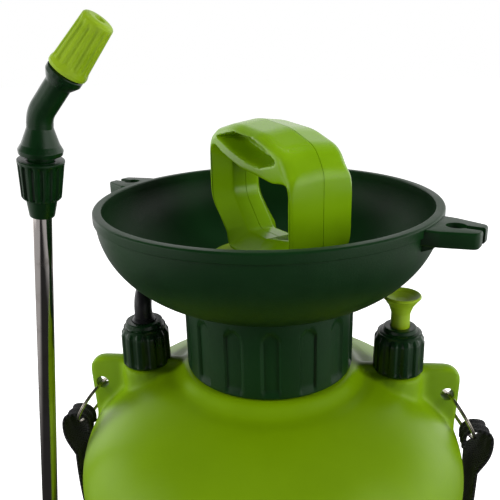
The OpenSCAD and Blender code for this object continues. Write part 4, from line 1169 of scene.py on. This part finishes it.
makeTrigger()
hoseNut = {"bore": 4.4, "radius": 8.4, "height": 14, "ribs": 10, "ribDepth": 0.7}


def makeHoseNut():
    bore = hoseNut["bore"]
    wide = hoseNut["radius"]
    top = hoseNut["height"]
    outline = softOutline([(bore, 0), (wide - 0.4, 0, 0.6), (wide, 2, 0.6), (wide, top - 2, 0.8),
                           (wide - 2, top, 0.8), (bore, top)], steps=4)
    piece = turned("hoseNut", withLevels(outline, 5, 7, 6), 120)

    def ribs(angle, radius, height):
        inBody = inBand(height, 1.6, 2.6, 10.4, 12)
        away = ridgeAt(angle, radius, hoseNut["ribs"])
        return radius - ease(away, 1.2, 2.0) * hoseNut["ribDepth"] * inBody if radius > 7 else radius

    fluted(piece, ribs)
    place(piece, Matrix.Translation((0, 0, 16 * mm)))
    place(piece, lanceFrame @ inletFrame)
    return keep(smooth(piece, 45), "lance", "nut_plastic", "hose_nut")


makeHoseNut()


# ---- rings and webbing of the shoulder strap ----
strap = {"radius": 108, "top": lugZ - 52, "drop": 165, "ringRadius": 14, "wire": 0.62,
         "tilt": math.radians(28), "yaw": math.radians(13), "hang": 1.7, "ringSteps": 150,
         "stations": 150, "columns": 12}
ringFoot = (tank["lugX"] + (2 * strap["ringRadius"] + strap["hang"]) * math.sin(strap["tilt"]),
            lugZ - (2 * strap["ringRadius"] + strap["hang"]) * math.cos(strap["tilt"]))


def makeRing(end, name, node):  # a split ring: two turns of wire side by side
    steps = strap["ringSteps"]
    radius = strap["ringRadius"]
    path = []
    for i in range(steps + 1):
        angle = fullTurn * 2 * i / steps
        shift = strap["wire"] * 1.02 * (2 * i / steps - 1)
        path.append(Vector((shift, radius * math.sin(angle),
                            -radius - strap["hang"] + radius * math.cos(angle))))
    piece = drawnTube(name, path, strap["wire"], 5)
    place(piece, Matrix.Translation((end * tank["lugX"] * mm, 0, lugZ * mm))
          @ Matrix.Rotation(-end * strap["tilt"], 4, "Y") @ Matrix.Rotation(end * strap["yaw"], 4, "Z"))
    return keep(piece, "root", "ring_steel", node)


makeRing(-1, "strapRingLeft", "strap_ring_left")
makeRing(1, "strapRingRight", "strap_ring_right")


def strapAt(share):  # middle, run and width direction of the webbing round the back
    def middle(t):
        phi = quarterTurn * (1 + math.cos(math.pi * t))
        return Vector((strap["radius"] * math.cos(phi), strap["radius"] * math.sin(phi),
                       strap["top"] - strap["drop"] * math.sin(math.pi * t)))

    run = (middle(share + 0.001) - middle(share - 0.001)).normalized()
    phi = quarterTurn * (1 + math.cos(math.pi * share))
    out = Vector((math.cos(phi), math.sin(phi), 0))
    return middle(share), run, out.cross(run).normalized(), 1.0


def foldStations(end):  # down from the ring: the webbing gathers over the wire and comes back on itself
    fold = [(2, -15, 1), (8, -6, 0.8), (9, 2.5, 0.6), (5, 5, 0.5), (0, 4.6, 0.45), (-2.9, 1, 0.45),
            (-2.8, -5, 0.45)]
    points = threaded([Vector((end * (ringFoot[0] + x), share, ringFoot[1] + z))
                       for x, z, share in fold])
    stations = []
    for i, point in enumerate(points):
        before, after = points[max(i - 1, 0)], points[min(i + 1, len(points) - 1)]
        run = Vector((after.x - before.x, 0, after.z - before.z)).normalized()
        stations.append((Vector((point.x, 0, point.z)), run, Vector((0, -1, 0)), point.y))
    return stations


def makeStrap():
    stations = [(m, -r, w, s) for m, r, w, s in foldStations(-1)[::-1]]
    stations += [strapAt(i / strap["stations"]) for i in range(strap["stations"] + 1)]
    stations += foldStations(1)
    cols = strap["columns"]
    bpy.ops.object.select_all(action="DESELECT")
    bpy.ops.mesh.primitive_grid_add(x_subdivisions=cols, y_subdivisions=len(stations) - 1, size=1)
    piece = bpy.context.object
    piece.name = "strapWebbing"
    reach = 0
    lengths = [0]
    for before, after in zip(stations, stations[1:]):
        reach += (after[0] - before[0]).length
        lengths.append(reach)
    for row, (middle, run, wide, share) in enumerate(stations):
        out = run.cross(wide)
        for col in range(cols + 1):
            t = col / cols * 2 - 1
            wave = 0.5 * math.sin(lengths[row] / 23) * t + (1 - share) * 2.2 * math.cos(t * 7) * 0.5
            point = middle + wide * (t * share * webbing["width"] / 2) + out * wave
            piece.data.vertices[row * (cols + 1) + col].co = point * mm
    layer = piece.data.uv_layers.active.data
    for loop in piece.data.loops:
        row, col = divmod(loop.vertex_index, cols + 1)
        layer[loop.index].uv = (col / cols, lengths[row] / reach)
    apply(piece, "SOLIDIFY", thickness=webbing["thickness"] * mm, offset=0, use_even_offset=True)
    bevel(piece, 0.45, 2, 50)
    smooth(piece, 50)
    keep(piece, "root", "webbing", "strap")
    print("webbing is", round(reach), "mm long")


makeStrap()
print("strap made")


# ---- holder for the lance, on the foot ----
holder = {"turn": math.radians(188), "padFoot": 5, "padTop": 32, "cup": 19.5, "wall": 3.5,
          "cupHeight": 18}


def makeHolder():
    reach = foot["radius"]
    pad = slab("lanceHolder", softOutline([(reach - 6, -26), (reach + 5.1, -24, 3),
                                           (reach + 5.1, 24, 3), (reach - 6, 26)]),
               holder["padFoot"], holder["padTop"])
    bevel(pad, 1.2, 3, 50)
    arm = slab("arm", softOutline([(reach + 1, 7, 0.5), (reach + 8, 7, 4), (reach + 19, 27, 2),
                                   (reach + 19, 46, 2), (reach + 12, 46, 6),
                                   (reach + 1, 31, 0.5)]), -4, 4)
    bevel(arm, 0.8, 2, 50)
    weld(pad, standUp(arm))
    place(pad, Matrix.Rotation(holder["turn"], 4, "Z"))
    inner = holder["cup"]
    outer = inner + holder["wall"]
    lip = holder["cupHeight"] - 0.3
    cup = turned("cup", softOutline([(0, -3.3), (outer - 1.2, -3.3, 1.5), (outer, -1, 1.5),
                                     (outer, lip, 1.2), (inner, lip, 1.2), (inner, -0.3, 1),
                                     (0, -0.3)], closed=False, steps=4), 96, False)
    cut(cup, slab("opening", [(-10, 0), (10, 0), (10, 40), (-10, 40)], -0.3, 60))
    cut(cup, drum(5, -20, 10, 32))
    place(cup, lanceFrame)
    cut(pad, place(drum(inner, -0.3, 60, 96), lanceFrame))
    cut(pad, drum(reach + 0.1, -10, 100, 192))
    weld(pad, cup)
    return keep(smooth(pad, 40), "root", "dark_plastic", "lance_holder")


makeHolder()


# ---- the pieces that keep their own shape get their finishes ----
slots = {node: name for name, nodes in {
    "dark_plastic": "rod_guide cylinder_foot piston_head",
    "black_plastic": "dip_strainer strap_slider valve_body inlet_barb",
    "pale_plastic": "dip_tube relief_seat pump_cylinder pump_rod valve_stem spray_insert",
    "seal_rubber": "neck_gasket outlet_seal relief_port_seal relief_disc cap_seal check_valve "
                   "piston_seal elbow_seal nozzle_ring",
    "screw_steel": "hose_clamp holder_screws handle_screws grip_screws trigger_pin relief_spring "
                   "trigger_spring",
    "cap_green": "lock_slide"}.items() for node in nodes.split()}
for node, name in slots.items():
    for materialSlot in frame["nodes"][node].material_slots:
        materialSlot.material = finishes[name]


# ---- light and floor ----
studio = {"level": 0.21, "front": 0.03, "beside": 1.3, "floorTone": 0.8, "floorGlow": 0.9}


def whiteRays(recipe):  # 1 where the eye or a clear ray meets the white
    rays = recipe.add("ShaderNodeLightPath")
    return recipe.add("ShaderNodeMath", {"operation": "MAXIMUM"}, rays.part("Is Camera Ray"),
                      rays.part("Is Transmission Ray")), rays.part("Is Glossy Ray")


def makeWorld():  # white backdrop behind, a dim room in front, which only gloss shows
    world = bpy.data.worlds.new("studio")
    bpy.context.scene.world = world
    recipe = Recipe("studio", world)
    seen, gloss = whiteRays(recipe)
    way = recipe.add("ShaderNodeSeparateXYZ", None, recipe.spot("Generated"))
    low = 1 - way.part("Z").between(0.35, 0.8)
    beside = abs(way.part("X")).between(0.55,
                                        0.85) * (1 - way.part("Z").between(0.2, 0.5)) * studio["beside"]
    backdrop = way.part("Y").between(0.3, 0.75) * low * (1 - studio["front"]) + studio["front"] + beside
    plain = seen * (1 - studio["level"]) + studio["level"]
    strength = recipe.add("ShaderNodeMath", {"operation": "MULTIPLY_ADD"}, gloss, backdrop - plain,
                          plain)
    recipe.finish(recipe.add("ShaderNodeBackground", None, Color=(1, 1, 1, 1), Strength=strength))


def makeFloor():
    recipe = Recipe("paleFloor")
    diffuse = recipe.add("ShaderNodeBsdfDiffuse", None, Color=(studio["floorTone"],) * 3 + (1,))
    seen, gloss = whiteRays(recipe)
    glow = recipe.add("ShaderNodeEmission", None, Color=(1, 1, 1, 1),
                      Strength=seen * studio["floorGlow"])
    both = recipe.add("ShaderNodeAddShader", None, diffuse, glow)
    way = recipe.add("ShaderNodeSeparateXYZ", None, recipe.spot("Object"))
    aside = abs(way.part("X")).between(0.3, 0.8) * 0.5
    behind = way.part("Y").between(0.25, 1.3) * 0.8 + aside + studio["front"]
    mirrored = recipe.add("ShaderNodeEmission", None, Color=(1, 1, 1, 1), Strength=behind)
    material = recipe.finish(recipe.add("ShaderNodeMixShader", None, gloss, both, mirrored))
    bpy.ops.object.select_all(action="DESELECT")
    bpy.ops.mesh.primitive_plane_add(size=14, location=(0, 0, 0))
    floor = bpy.context.object
    floor.name = "floor"
    floor.data.materials.append(material)


def softBox(name, spot, target, size, power):
    light = bpy.data.lights.new(name, "AREA")
    light.shape = "RECTANGLE"
    light.size, light.size_y = size
    light.energy = power
    lamp = bpy.data.objects.new(name, light)
    bpy.context.collection.objects.link(lamp)
    lamp.location = spot
    lamp.visible_glossy = False
    lamp.rotation_euler = (Vector(target) - Vector(spot)).to_track_quat("-Z", "Y").to_euler()


makeWorld()
makeFloor()
softBox("rightLight", (1.15, -0.5, 0.65), (0, 0, 0.2), (0.5, 0.9), 13)
softBox("leftLight", (-1.15, -0.5, 0.65), (0, 0, 0.2), (0.5, 0.9), 13)
softBox("topLight", (0, 0.3, 1.5), (0, 0, 0.3), (0.8, 0.5), 8)
scene = bpy.context.scene
scene.view_settings.view_transform = "Standard"
print("scene lit")
